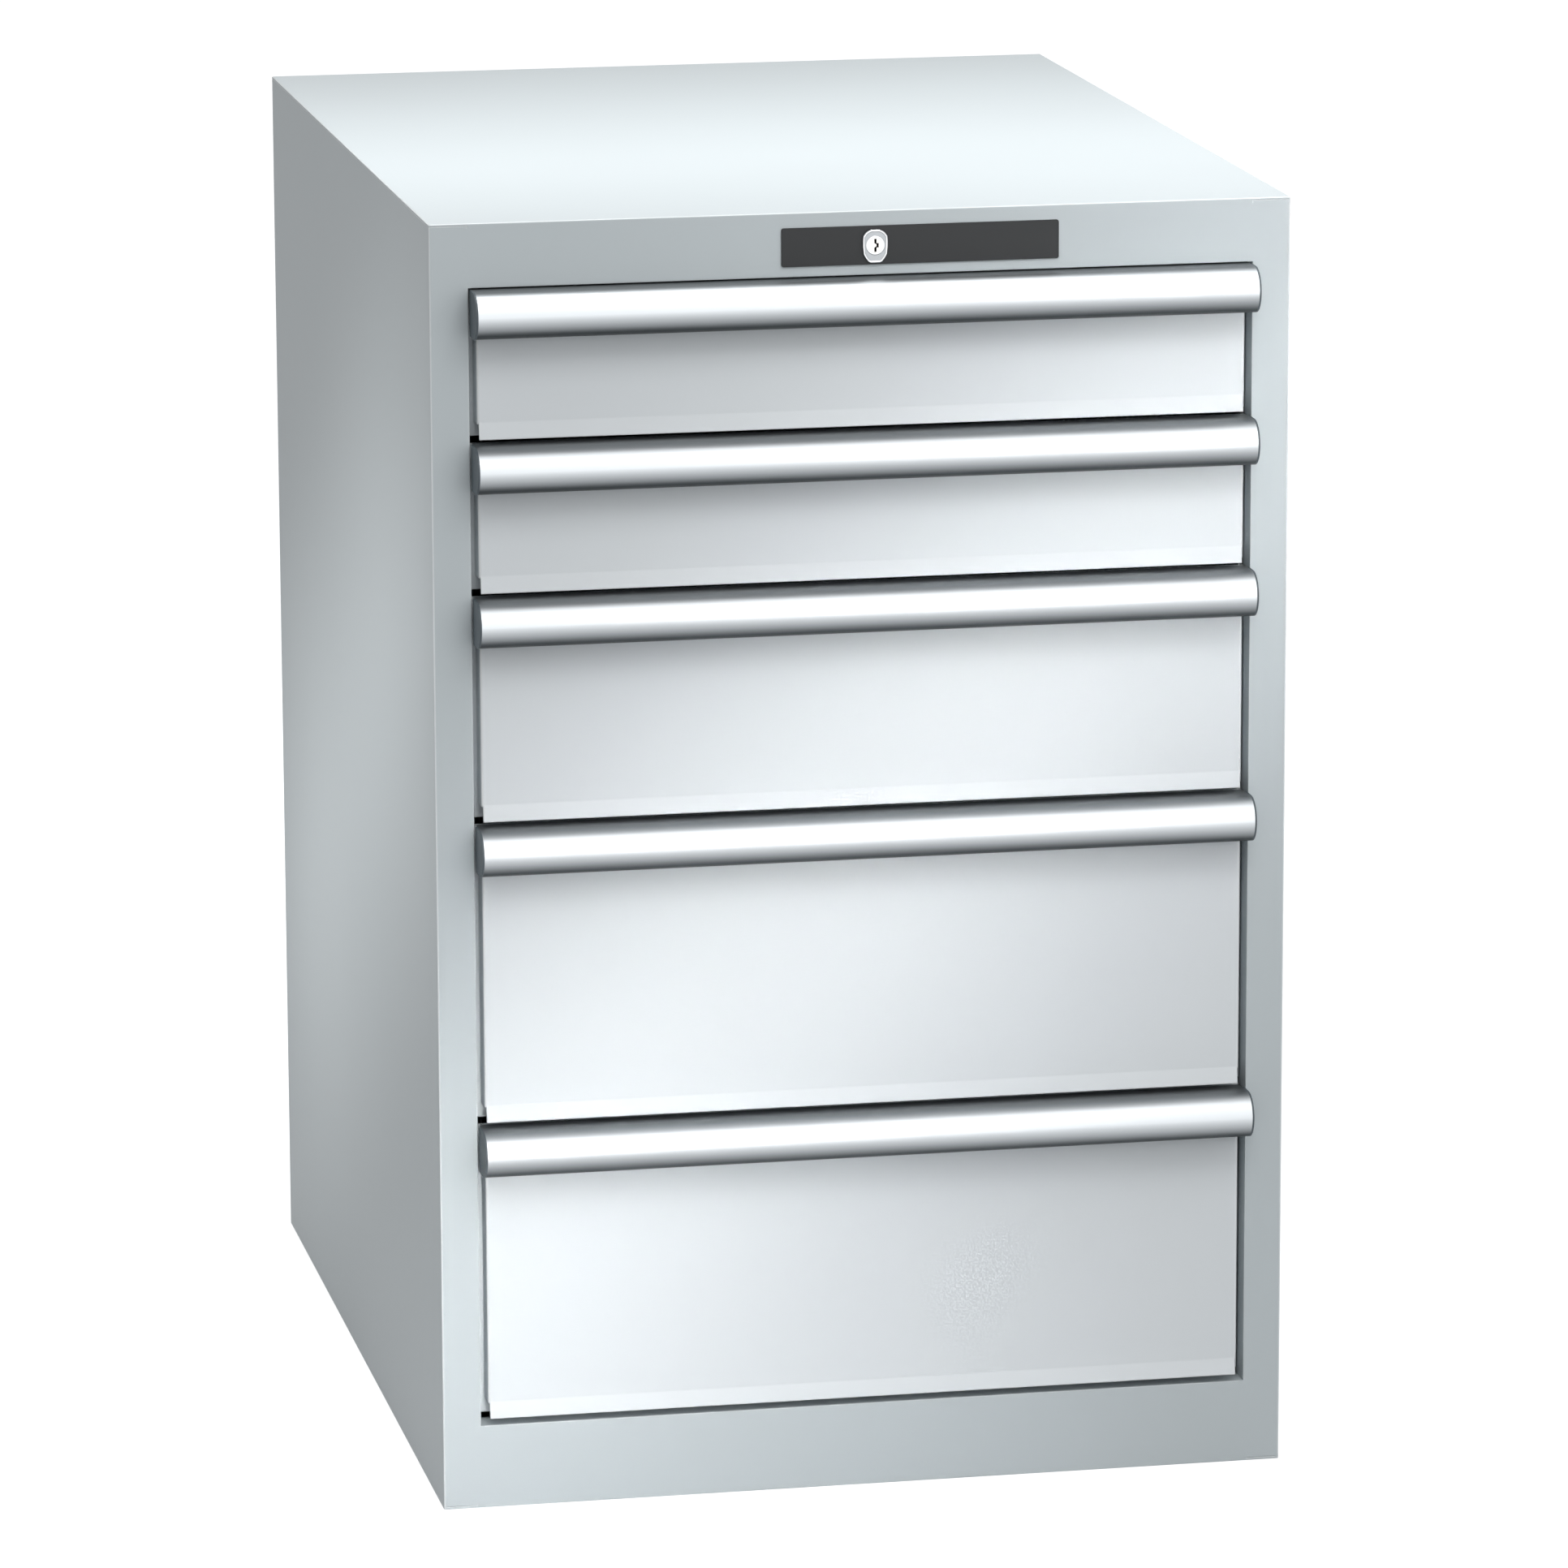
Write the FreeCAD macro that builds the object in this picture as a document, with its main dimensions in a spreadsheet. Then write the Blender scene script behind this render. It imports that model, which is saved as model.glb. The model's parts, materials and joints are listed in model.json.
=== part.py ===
import FreeCAD, Part
import os
import Sketcher
from FreeCAD import Placement, Rotation, Vector

# A modular drawer cabinet: a folded steel housing with five drawers on full extension slides
# and one lock that holds them all. Millimetres, +X right as seen from the front, +Z up.
# The front plane of the housing is at depth 0 of every piece's own frame, and +Y is depth.

doc = FreeCAD.newDocument("drawer_cabinet")

drawer_count = 5
drawers = range(1, drawer_count + 1)

# Driving dimensions

driving_sizes = [
    ("width", 564, "outside width of the housing"),
    ("depth", 725, "front plane to back plane of the housing"),
    ("housing_sheet", 1.5, "sheet of the housing"),
    ("post_width", 25, "face of a front post"),
    ("post_return", 20, "depth of the posts and of the front rails"),
    ("post_hem", 11, "flange at the back of a post"),
    ("rail_hem", 10, "flange at the back of the front rails"),
    ("top_rail_height", 41.5, "face of the upper front rail"),
    ("bottom_rail_height", 55.5, "face of the lower front rail"),
    ("bend_radius", 1.5, "outside radius of the housing's front corners"),
    ("edge_radius", 0.8, "rounding of the top panel's upper edges"),
    ("back_flange", 18, "flange that joins the back wall to the side walls"),
    ("anchor_radius", 5.5, "floor anchor hole"),
    ("anchor_spacing_x", 440, "between anchor holes, across"),
    ("anchor_spacing_y", 560, "between anchor holes, front to back"),
    ("drawer_1_height", 100, "module height of the top drawer"),
    ("drawer_2_height", 100, "module height of the second drawer"),
    ("drawer_3_height", 150, "module height of the third drawer"),
    ("drawer_4_height", 200, "module height of the fourth drawer"),
    ("drawer_5_height", 200, "module height of the bottom drawer"),
    ("stack_floor_gap", 2, "opening's floor to the lowest module"),
    ("stack_top_gap", 1, "highest module to the opening's top"),
    ("front_side_gap", 5, "drawer front to post"),
    ("front_bottom_gap", 3, "module floor to the front's lower edge"),
    ("front_depth", 17, "depth of the folded front pan"),
    ("front_sheet", 1.2, "sheet of the drawer front"),
    ("front_bend", 2, "outside radius of the front's upright edges"),
    ("lip_height", 11, "flared strip along the front's lower edge"),
    ("lip_flare", 2, "how far that strip stands out"),
    ("handle_wall", 1.8, "wall of the handle profile"),
    ("handle_web", 13, "front plane to the centre of the handle's round"),
    ("handle_radius", 15, "outside radius of the handle's round"),
    ("handle_strap", 12, "part of the handle that lies on the front"),
    ("handle_saddle", 6, "part of the handle that hooks over the front"),
    ("handle_cap", 1.2, "thickness of a handle end cap"),
    ("handle_side_gap", 1, "end cap to the edge of the opening"),
    ("slide_space", 26.5, "drawer box to the edge of the opening"),
    ("box_sheet", 1, "sheet of the drawer box"),
    ("box_depth", 612, "usable depth of the drawer box"),
    ("box_floor", 8, "module floor to the box's underside"),
    ("box_top_gap", 12, "top of the box's walls to the module's top"),
    ("rail_sheet", 1.5, "wall of the slide rails"),
    ("rail_level", 24, "module floor to the middle of the rails"),
    ("wheel_radius", 9, "roller"),
    ("wheel_width", 7.5, "roller"),
    ("wheel_chamfer", 0.8, "edge of a roller"),
    ("wheel_play", 0.3, "roller to the track above and below it"),
    ("wheel_side_gap", 0.8, "roller to the rail's web, and to the rail's tip"),
    ("hub_radius", 4.5, "shoulder between roller and carriage plate"),
    ("axle_radius", 3, "axle that joins two rollers"),
    ("axle_play", 0.05, "axle to its hole in the carriage plate"),
    ("carriage_sheet", 1.8, "carriage plate"),
    ("carriage_half_height", 8.5, "carriage plate, from its middle"),
    ("carriage_nose", 12, "first axle to the carriage's front end"),
    ("carriage_tail", 96, "second axle to the middle of the guide shoe"),
    ("carriage_corner", 5, "corners of the carriage plate"),
    ("shoe_half_length", 10, "guide shoe at the carriage's rear"),
    ("hub_gap", 0.2, "shoulder to carriage plate"),
    ("cabinet_rail_front", 30, "front plane to the fixed rail and its upright"),
    ("cabinet_rail_back_gap", 35, "fixed rail to the back plane"),
    ("drawer_rail_front", 20, "front plane to the drawer rail"),
    ("drawer_rail_overrun", 49, "drawer rail past the box's rear"),
    ("middle_roller_open", 48, "depth of the second axle with the drawer open"),
    ("upright_width", 40, "slide upright, front to back"),
    ("upright_back_gap", 45, "rear upright to the back plane"),
    ("slot_pitch", 25, "between the slots of an upright"),
    ("slot_length", 12, "slot of an upright"),
    ("slot_width", 4, "slot of an upright"),
    ("lock_plate_left", 228, "left edge of the housing to the lock plate"),
    ("lock_plate_width", 182, "lock plate"),
    ("lock_plate_height", 25, "lock plate"),
    ("lock_plate_drop", 9.8, "top edge of the housing to the lock plate"),
    ("lock_plate_sheet", 1.2, "lock plate"),
    ("lock_plate_corner", 1.5, "corners of the lock plate"),
    ("lock_offset", 61, "left edge of the lock plate to the lock's centre"),
    ("shield_width", 16.5, "escutcheon"),
    ("shield_rise", 10.2, "lock's centre to the escutcheon's top"),
    ("shield_fall", 11.3, "lock's centre to the escutcheon's foot"),
    ("shield_foot", 8, "width of the escutcheon's foot"),
    ("shield_sheet", 2, "escutcheon"),
    ("shield_edge", 0.6, "rounding of the escutcheon's face"),
    ("case_radius", 7.2, "lock cylinder case"),
    ("case_play", 0.1, "case to the holes it passes"),
    ("case_length", 20, "case behind the front plane"),
    ("plug_radius", 5, "lock plug"),
    ("plug_play", 0.05, "plug to its bore"),
    ("plug_tail", 2.5, "plug behind the case"),
    ("keyway_depth", 14, "keyway"),
    ("keyway_rise", 4.2, "half the keyway's height"),
    ("keyway_width", 1.4, "keyway"),
    ("crank_radius", 9, "lock's centre to the crank pin"),
    ("crank_half_width", 5, "arm of the crank"),
    ("lock_sheet", 3, "crank, transfer bar and lock rod"),
    ("lock_sheet_gap", 0.5, "between two sliding plates of the lock"),
    ("lock_pin_radius", 2.5, "pins of the crank and of the rod"),
    ("lock_slot_play", 0.6, "pin to its slot"),
    ("bar_margin", 2.4, "metal round the slots of the transfer bar"),
    ("bar_tail", 14, "lock's centre to the end of the transfer bar"),
    ("rod_pin_inset", 1, "edge of the opening to the rod's pin, outward"),
    ("rod_pin_drop", 1.2, "lock's centre to the rod's pin, downward"),
    ("rod_inset", 1.5, "edge of the opening to the rod"),
    ("rod_width", 16, "lock rod"),
    ("rod_ear", 5, "rod's pin to the edge of its ear"),
    ("rod_tail", 12, "rod below its lowest hook"),
    ("hook_reach", 11, "hook past the edge of the opening"),
    ("hook_height", 8, "hook"),
    ("hook_drop", 2, "top of a hook to the catch above it, unlocked"),
    ("catch_gap", 1.5, "hook to the catch, front to back"),
    ("catch_level", 22, "middle of the rails to the catch's lower edge"),
    ("catch_height", 12, "catch on the box's right wall"),
    ("catch_root", 18, "foot of the catch along the box's wall"),
    ("catch_inset", 7, "catch to the edge of the opening"),
    ("guide_play", 0.4, "guides to bar and rod"),
    ("guide_wall", 1.5, "wall of a guide"),
    ("guide_length", 14, "guide along its bar or rod"),
    ("guide_rise", 30, "end of the stack to the nearest rod guide"),
    ("bar_guide_spacing", 90, "lock's centre to the first bar guide, and on to the next"),
]

sizes = doc.addObject("Spreadsheet::Sheet", "Sizes")
for row, (alias, value, note) in enumerate(driving_sizes, start=1):
    sizes.set(f"A{row}", note)
    sizes.set(f"B{row}", str(value))
    sizes.setAlias(f"B{row}", alias)

# Places that follow from them

derived_places = [
    ("half_width", "Sizes.width / 2"),
    ("side_inside", "half_width - Sizes.housing_sheet"),
    ("opening_half", "half_width - Sizes.post_width"),
    ("handle_reach", "Sizes.handle_web + Sizes.handle_radius"),
    ("front_y", "(handle_reach - Sizes.depth) / 2"),
    ("drawer_5_floor", "Sizes.bottom_rail_height + Sizes.stack_floor_gap"),
    ("drawer_4_floor", "drawer_5_floor + Sizes.drawer_5_height"),
    ("drawer_3_floor", "drawer_4_floor + Sizes.drawer_4_height"),
    ("drawer_2_floor", "drawer_3_floor + Sizes.drawer_3_height"),
    ("drawer_1_floor", "drawer_2_floor + Sizes.drawer_2_height"),
    ("opening_top", "drawer_1_floor + Sizes.drawer_1_height + Sizes.stack_top_gap"),
    ("height", "opening_top + Sizes.top_rail_height"),
    ("wall_height", "height - 2 * Sizes.housing_sheet"),
    ("front_half", "opening_half - Sizes.front_side_gap"),
    ("lip_top", "Sizes.front_bottom_gap + Sizes.lip_height"),
    ("cap_outside", "opening_half - Sizes.handle_side_gap"),
    ("handle_half", "cap_outside - Sizes.handle_cap"),
    ("box_half", "opening_half - Sizes.slide_space"),
    ("box_back", "Sizes.front_depth + Sizes.box_depth + 2 * Sizes.box_sheet"),
    ("travel", "Sizes.box_depth"),
    ("track_half", "Sizes.wheel_radius + Sizes.wheel_play"),
    ("rail_half", "track_half + Sizes.rail_sheet"),
    ("rail_reach", "Sizes.rail_sheet + Sizes.wheel_width + 2 * Sizes.wheel_side_gap"),
    ("drawer_rail_tip", "box_half + rail_reach"),
    ("cabinet_rail_tip", "opening_half - rail_reach"),
    ("carriage_inside", "(drawer_rail_tip + cabinet_rail_tip - Sizes.carriage_sheet) / 2"),
    ("carriage_outside", "carriage_inside + Sizes.carriage_sheet"),
    ("inner_wheel", "drawer_rail_tip - Sizes.wheel_side_gap - Sizes.wheel_width"),
    ("outer_wheel", "cabinet_rail_tip + Sizes.wheel_side_gap"),
    ("front_roller", "Sizes.cabinet_rail_front + Sizes.wheel_radius"),
    ("middle_roller", "Sizes.middle_roller_open + travel / 2"),
    ("shoe", "middle_roller + Sizes.carriage_tail"),
    ("cabinet_rail_back", "Sizes.depth - Sizes.cabinet_rail_back_gap"),
    ("drawer_rail_back", "box_back + Sizes.drawer_rail_overrun"),
    ("rear_upright", "Sizes.depth - Sizes.upright_back_gap - Sizes.upright_width"),
    ("lock_plate_x", "Sizes.lock_plate_left - half_width"),
    ("lock_plate_z", "height - Sizes.lock_plate_drop - Sizes.lock_plate_height"),
    ("lock_x", "lock_plate_x + Sizes.lock_offset"),
    ("lock_z", "lock_plate_z + Sizes.lock_plate_height / 2"),
    ("shield_face", "Sizes.lock_plate_sheet + Sizes.shield_sheet"),
    ("crank_depth", "Sizes.case_length + Sizes.plug_tail"),
    ("crank_back", "crank_depth + Sizes.lock_sheet"),
    ("bar_depth", "crank_back + Sizes.lock_sheet_gap"),
    ("bar_back", "bar_depth + Sizes.lock_sheet"),
    ("crank_shift", "Sizes.crank_radius / sqrt(2)"),
    ("lock_throw", "2 * crank_shift"),
    ("slot_half", "Sizes.lock_pin_radius + Sizes.lock_slot_play"),
    ("slot_corner", "slot_half * sqrt(2)"),
    ("rod_pin_x", "opening_half + Sizes.rod_pin_inset"),
    ("rod_pin_z", "lock_z - Sizes.rod_pin_drop"),
    ("bar_low", "rod_pin_z - slot_corner - Sizes.bar_margin"),
    ("bar_high", "rod_pin_z + lock_throw + slot_corner + Sizes.bar_margin"),
    ("bar_end", "rod_pin_x + slot_corner + Sizes.bar_margin"),
    ("rod_inside", "opening_half + Sizes.rod_inset"),
    ("rod_outside", "rod_inside + Sizes.rod_width"),
    ("hook_tip", "opening_half - Sizes.hook_reach"),
    ("hook_top", "Sizes.rail_level + Sizes.catch_level - Sizes.hook_drop"),
    ("hook_foot", "hook_top - Sizes.hook_height"),
    ("catch_depth", "crank_back + Sizes.catch_gap"),
    ("catch_tip", "opening_half - Sizes.catch_inset"),
]

places = doc.addObject("Spreadsheet::Sheet", "Places")
for row, (alias, formula) in enumerate(derived_places, start=1):
    places.set(f"A{row}", alias.replace("_", " "))
    places.set(f"B{row}", "=" + formula)
    places.setAlias(f"B{row}", alias)
doc.recompute()


def number(expression):
    """The value of an expression in mm, as the sketches need for a first guess."""
    return float(sizes.evalExpression(str(expression)))


# Drawing and folding


def new_body(name, depth="0", floor="0"):
    """A body whose own depth 0 is the housing's front plane, raised to the given floor."""
    body = doc.addObject("PartDesign::Body", name)
    body.Label = name
    body.setExpression("Placement.Base.y", f"Places.front_y + {depth}")
    body.setExpression("Placement.Base.z", floor)
    return body


def new_sketch(body, name, role, offset="0"):
    """A sketch on one of the body's origin planes, shifted along that plane's normal."""
    sketch = body.newObject("Sketcher::SketchObject", f"{body.Name}_{name}")
    plane = next(feature for feature in body.Origin.OriginFeatures if feature.Role == role)
    sketch.AttachmentSupport = [(plane, "")]
    sketch.MapMode = "FlatFace"
    sketch.setExpression("AttachmentOffset.Base.z", offset)
    return sketch


def pin_point(sketch, geometry, end, point):
    """Holds one end of a line or an arc at a point given by two expressions."""
    for kind, expression in zip(("DistanceX", "DistanceY"), point):
        index = sketch.addConstraint(
            Sketcher.Constraint(kind, -1, 1, geometry, end, number(expression))
        )
        sketch.setExpression(f"Constraints[{index}]", str(expression))


def add_outline(sketch, points):
    """A closed outline of straight lines through the points."""
    corners = [Vector(number(x), number(y), 0) for x, y in points]
    first = sketch.GeometryCount
    count = len(points)
    for step, corner in enumerate(corners):
        sketch.addGeometry(Part.LineSegment(corner, corners[(step + 1) % count]), False)
    for step in range(count):
        following = first + (step + 1) % count
        sketch.addConstraint(Sketcher.Constraint("Coincident", first + step, 2, following, 1))
        pin_point(sketch, first + step, 1, points[step])


def add_rectangle(sketch, low, high):
    """A rectangle between two opposite corners."""
    add_outline(sketch, [low, (high[0], low[1]), high, (low[0], high[1])])


def add_circle(sketch, centre, radius):
    """A circle held at its centre, with its radius bound."""
    middle = Vector(number(centre[0]), number(centre[1]), 0)
    circle = Part.Circle(middle, Vector(0, 0, 1), number(radius))
    index = sketch.addGeometry(circle, False)
    pin_point(sketch, index, 3, centre)
    size = sketch.addConstraint(Sketcher.Constraint("Radius", index, number(radius)))
    sketch.setExpression(f"Constraints[{size}]", radius)


def add_half_round(sketch, centre, radius, first_angle):
    """A half circle counter-clockwise from first_angle, held at its centre and by its radius."""
    middle = Vector(number(centre[0]), number(centre[1]), 0)
    circle = Part.Circle(middle, Vector(0, 0, 1), number(radius))
    start = FreeCAD.Units.Quantity(f"{first_angle} deg").getValueAs("rad").Value
    turn = FreeCAD.Units.Quantity("180 deg").getValueAs("rad").Value
    index = sketch.addGeometry(Part.ArcOfCircle(circle, start, start + turn), False)
    pin_point(sketch, index, 3, centre)
    size = sketch.addConstraint(Sketcher.Constraint("Radius", index, number(radius)))
    sketch.setExpression(f"Constraints[{size}]", radius)
    return index


def add_line_between(sketch, first, second):
    """A line that joins two (geometry, end) places."""
    ends = [sketch.getPoint(*place) for place in (first, second)]
    index = sketch.addGeometry(Part.LineSegment(*ends), False)
    sketch.addConstraint(Sketcher.Constraint("Coincident", index, 1, *first))
    sketch.addConstraint(Sketcher.Constraint("Coincident", index, 2, *second))
    return index


def pad(body, sketch, length, reverse=False, middle=False):
    """Thickens a sketch along its normal, against it, or to both sides."""
    feature = body.newObject("PartDesign::Pad", f"{sketch.Name}_pad")
    feature.Profile = sketch
    feature.Reversed = reverse
    feature.SideType = "Symmetric" if middle else "One side"
    feature.setExpression("Length", length)
    body.Tip = feature
    return feature


def pocket(body, sketch, length, reverse=False):
    """Cuts a sketch into the body, and stops the build if it cuts nothing."""
    doc.recompute()
    before = body.Shape.Volume
    feature = body.newObject("PartDesign::Pocket", f"{sketch.Name}_pocket")
    feature.Profile = sketch
    feature.Reversed = reverse
    feature.setExpression("Length", length)
    body.Tip = feature
    doc.recompute()
    if not body.Shape.Volume < before:
        raise RuntimeError(f"{feature.Name} cuts nothing")
    return feature


def round_edges(body, radius, wanted):
    """Rounds each edge of the body's last feature for which wanted(edge) is true."""
    doc.recompute()
    base = body.Tip
    names = [f"Edge{i}" for i, edge in enumerate(base.Shape.Edges, start=1) if wanted(edge)]
    feature = body.newObject("PartDesign::Fillet", f"{base.Name}_round")
    feature.Base = (base, names)
    feature.setExpression("Radius", radius)
    body.Tip = feature
    return feature


def edge_runs(edge, direction):
    """True for a straight edge along the given axis."""
    if edge.Curve.TypeId != "Part::GeomLine":
        return False
    return abs(edge.tangentAt(edge.FirstParameter).dot(direction)) > 0.999


def close(a, b):
    return abs(a - b) < 0.01


along_x = Vector(1, 0, 0)
along_y = Vector(0, 1, 0)
along_z = Vector(0, 0, 1)


def mirrored(source):
    """The same piece on the other side of the cabinet's middle plane."""
    mirror = doc.addObject("Part::Mirroring", f"{source.Name}_mirror")
    mirror.Source = source
    mirror.Normal = along_x
    mirror.Base = Vector(0, 0, 0)
    return mirror


def group(name, pieces):
    """Several separate solids that share one node."""
    compound = doc.addObject("Part::Compound", name)
    compound.Label = name
    compound.Links = pieces
    return compound


def pair(name, body):
    """A piece and its mirror image as one node."""
    return group(name, [body, mirrored(body)])


# Housing


def make_side_wall(name):
    """A side wall, folded at the front into a post of C section."""
    wall = new_body(name)
    sheet = "Sizes.housing_sheet"
    profile = new_sketch(wall, "profile", "XY_Plane", sheet)
    add_outline(profile, [
        ("Places.half_width", "Sizes.depth"),
        ("Places.half_width", "0"),
        ("Places.opening_half", "0"),
        ("Places.opening_half", "Sizes.post_return"),
        ("Places.opening_half + Sizes.post_hem", "Sizes.post_return"),
        ("Places.opening_half + Sizes.post_hem", f"Sizes.post_return - {sheet}"),
        (f"Places.opening_half + {sheet}", f"Sizes.post_return - {sheet}"),
        (f"Places.opening_half + {sheet}", sheet),
        ("Places.side_inside", sheet),
        ("Places.side_inside", "Sizes.depth"),
    ])
    pad(wall, profile, "Places.wall_height")
    half_width = number("Places.half_width")

    def is_front_corner(edge):
        middle = edge.CenterOfMass
        return edge_runs(edge, along_z) and close(middle.x, half_width) and close(middle.y, 0)

    round_edges(wall, "Sizes.bend_radius", is_front_corner)
    return wall


def make_plate_with_rail(name, plate_level, rail_face):
    """A plate over the whole footprint with a front rail folded from it, between the posts."""
    panel = new_body(name)
    outline = new_sketch(panel, "plate", "XY_Plane", plate_level)
    add_rectangle(outline, ("-Places.half_width", "0"), ("Places.half_width", "Sizes.depth"))
    pad(panel, outline, "Sizes.housing_sheet")
    rail = new_sketch(panel, "rail", "YZ_Plane")
    add_outline(rail, rail_face)
    pad(panel, rail, "2 * Places.opening_half", middle=True)
    half_width = number("Places.half_width")

    def is_front_corner(edge):
        middle = edge.CenterOfMass
        at_corner = close(abs(middle.x), half_width) and close(middle.y, 0)
        return edge_runs(edge, along_z) and at_corner

    round_edges(panel, "Sizes.bend_radius", is_front_corner)
    return panel


def make_top_panel():
    """The top plate with the upper front rail, rounded along its upper edges."""
    sheet = "Sizes.housing_sheet"
    under = f"Places.height - {sheet}"
    low = "Places.opening_top"
    back = "Sizes.post_return"
    panel = make_plate_with_rail("top_panel", under, [
        ("0", under),
        ("0", low),
        (back, low),
        (back, f"{low} + Sizes.rail_hem"),
        (f"{back} - {sheet}", f"{low} + Sizes.rail_hem"),
        (f"{back} - {sheet}", f"{low} + {sheet}"),
        (sheet, f"{low} + {sheet}"),
        (sheet, under),
    ])
    top = number("Places.height")

    def is_upper_edge(edge):
        return close(edge.BoundBox.ZMin, top) and close(edge.BoundBox.ZMax, top)

    round_edges(panel, "Sizes.edge_radius", is_upper_edge)
    hole = new_sketch(panel, "lock_hole", "XZ_Plane")
    add_circle(hole, ("Places.lock_x", "Places.lock_z"), "Sizes.case_radius + Sizes.case_play")
    pocket(panel, hole, "2 * Sizes.housing_sheet")
    return panel


def make_base_pan():
    """The base plate with the lower front rail and the four floor anchor holes."""
    sheet = "Sizes.housing_sheet"
    high = "Sizes.bottom_rail_height"
    back = "Sizes.post_return"
    pan = make_plate_with_rail("base_pan", "0", [
        ("0", sheet),
        ("0", high),
        (back, high),
        (back, f"{high} - Sizes.rail_hem"),
        (f"{back} - {sheet}", f"{high} - Sizes.rail_hem"),
        (f"{back} - {sheet}", f"{high} - {sheet}"),
        (sheet, f"{high} - {sheet}"),
        (sheet, sheet),
    ])
    anchors = new_sketch(pan, "anchors", "XY_Plane")
    for side in ("-", ""):
        for end in ("-", "+"):
            centre = (
                f"{side}Sizes.anchor_spacing_x / 2",
                f"Sizes.depth / 2 {end} Sizes.anchor_spacing_y / 2",
            )
            add_circle(anchors, centre, "Sizes.anchor_radius")
    pocket(pan, anchors, "2 * Sizes.housing_sheet", reverse=True)
    return pan


def make_back_wall():
    """The back wall between the side walls, with a flange along each of them."""
    wall = new_body("back_wall")
    sheet = "Sizes.housing_sheet"
    profile = new_sketch(wall, "profile", "XY_Plane", sheet)
    outer = "Places.side_inside"
    inner = f"Places.side_inside - {sheet}"
    front = "Sizes.depth - Sizes.back_flange"
    add_outline(profile, [
        (f"-({outer})", "Sizes.depth"),
        (outer, "Sizes.depth"),
        (outer, front),
        (inner, front),
        (inner, f"Sizes.depth - {sheet}"),
        (f"-({inner})", f"Sizes.depth - {sheet}"),
        (f"-({inner})", front),
        (f"-({outer})", front),
    ])
    pad(wall, profile, "Places.wall_height")
    return wall


def make_upright(name, front):
    """A slotted channel, welded to the right side wall, that the slide rails hang on."""
    upright = new_body(name)
    sheet = "Sizes.housing_sheet"
    back = f"{front} + Sizes.upright_width"
    profile = new_sketch(upright, "profile", "XY_Plane", sheet)
    add_outline(profile, [
        ("Places.opening_half", front),
        ("Places.side_inside", front),
        ("Places.side_inside", f"{front} + {sheet}"),
        (f"Places.opening_half + {sheet}", f"{front} + {sheet}"),
        (f"Places.opening_half + {sheet}", f"{back} - {sheet}"),
        ("Places.side_inside", f"{back} - {sheet}"),
        ("Places.side_inside", back),
        ("Places.opening_half", back),
    ])
    pad(upright, profile, "Places.wall_height")
    slot = new_sketch(upright, "slot", "YZ_Plane", "Places.opening_half")
    middle = f"{front} + Sizes.upright_width / 2"
    foot = "Sizes.bottom_rail_height"
    add_rectangle(
        slot,
        (f"{middle} - Sizes.slot_width / 2", foot),
        (f"{middle} + Sizes.slot_width / 2", f"{foot} + Sizes.slot_length"),
    )
    first_slot = pocket(upright, slot, sheet, reverse=True)
    slots = upright.newObject("PartDesign::LinearPattern", f"{name}_slots")
    slots.Originals = [first_slot]
    slots.Direction = (slot, ["V_Axis"])
    run = "floor((Places.opening_top - Sizes.bottom_rail_height) / Sizes.slot_pitch) - 1"
    slots.setExpression("Length", f"({run}) * Sizes.slot_pitch")
    slots.setExpression("Occurrences", f"{run} + 1")
    upright.Tip = slots
    return upright


# Slides


def rail_section(web, tip, inward):
    """The C section of a slide rail from its web to the tips of its flanges."""
    inside = f"{web} {inward} Sizes.rail_sheet"
    return [
        (web, "Places.rail_half"),
        (tip, "Places.rail_half"),
        (tip, "Places.track_half"),
        (inside, "Places.track_half"),
        (inside, "-Places.track_half"),
        (tip, "-Places.track_half"),
        (tip, "-Places.rail_half"),
        (web, "-Places.rail_half"),
    ]


def make_cabinet_rail(number_of_drawer):
    """The fixed rail on the uprights at the right of one drawer."""
    floor = f"Places.drawer_{number_of_drawer}_floor + Sizes.rail_level"
    rail = new_body(f"cabinet_rail_{number_of_drawer}", floor=floor)
    section = new_sketch(rail, "section", "XZ_Plane", "-Sizes.cabinet_rail_front")
    add_outline(section, rail_section("Places.opening_half", "Places.cabinet_rail_tip", "-"))
    pad(rail, section, "Places.cabinet_rail_back - Sizes.cabinet_rail_front", reverse=True)
    return rail


def make_drawer_rail(name, floor):
    """The rail on the drawer box's right wall."""
    rail = new_body(f"{name}_right_rail", floor=f"{floor} + Sizes.rail_level")
    section = new_sketch(rail, "section", "XZ_Plane", "-Sizes.drawer_rail_front")
    add_outline(section, rail_section("Places.box_half", "Places.drawer_rail_tip", "+"))
    pad(rail, section, "Places.drawer_rail_back - Sizes.drawer_rail_front", reverse=True)
    return rail


def make_catch(name, floor):
    """The bracket above the right rail that the lock's hook holds, welded to the box's wall."""
    catch = new_body(f"{name}_catch", floor=f"{floor} + Sizes.rail_level")
    outline = new_sketch(catch, "outline", "XY_Plane", "Sizes.catch_level")
    foot_face = "Places.box_half + Sizes.rail_sheet"
    plate_back = "Places.catch_depth + Sizes.rail_sheet"
    foot_end = "Places.catch_depth + Sizes.catch_root"
    add_outline(outline, [
        ("Places.box_half", "Places.catch_depth"),
        ("Places.catch_tip", "Places.catch_depth"),
        ("Places.catch_tip", plate_back),
        (foot_face, plate_back),
        (foot_face, foot_end),
        ("Places.box_half", foot_end),
    ])
    pad(catch, outline, "Sizes.catch_height")
    return catch


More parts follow.
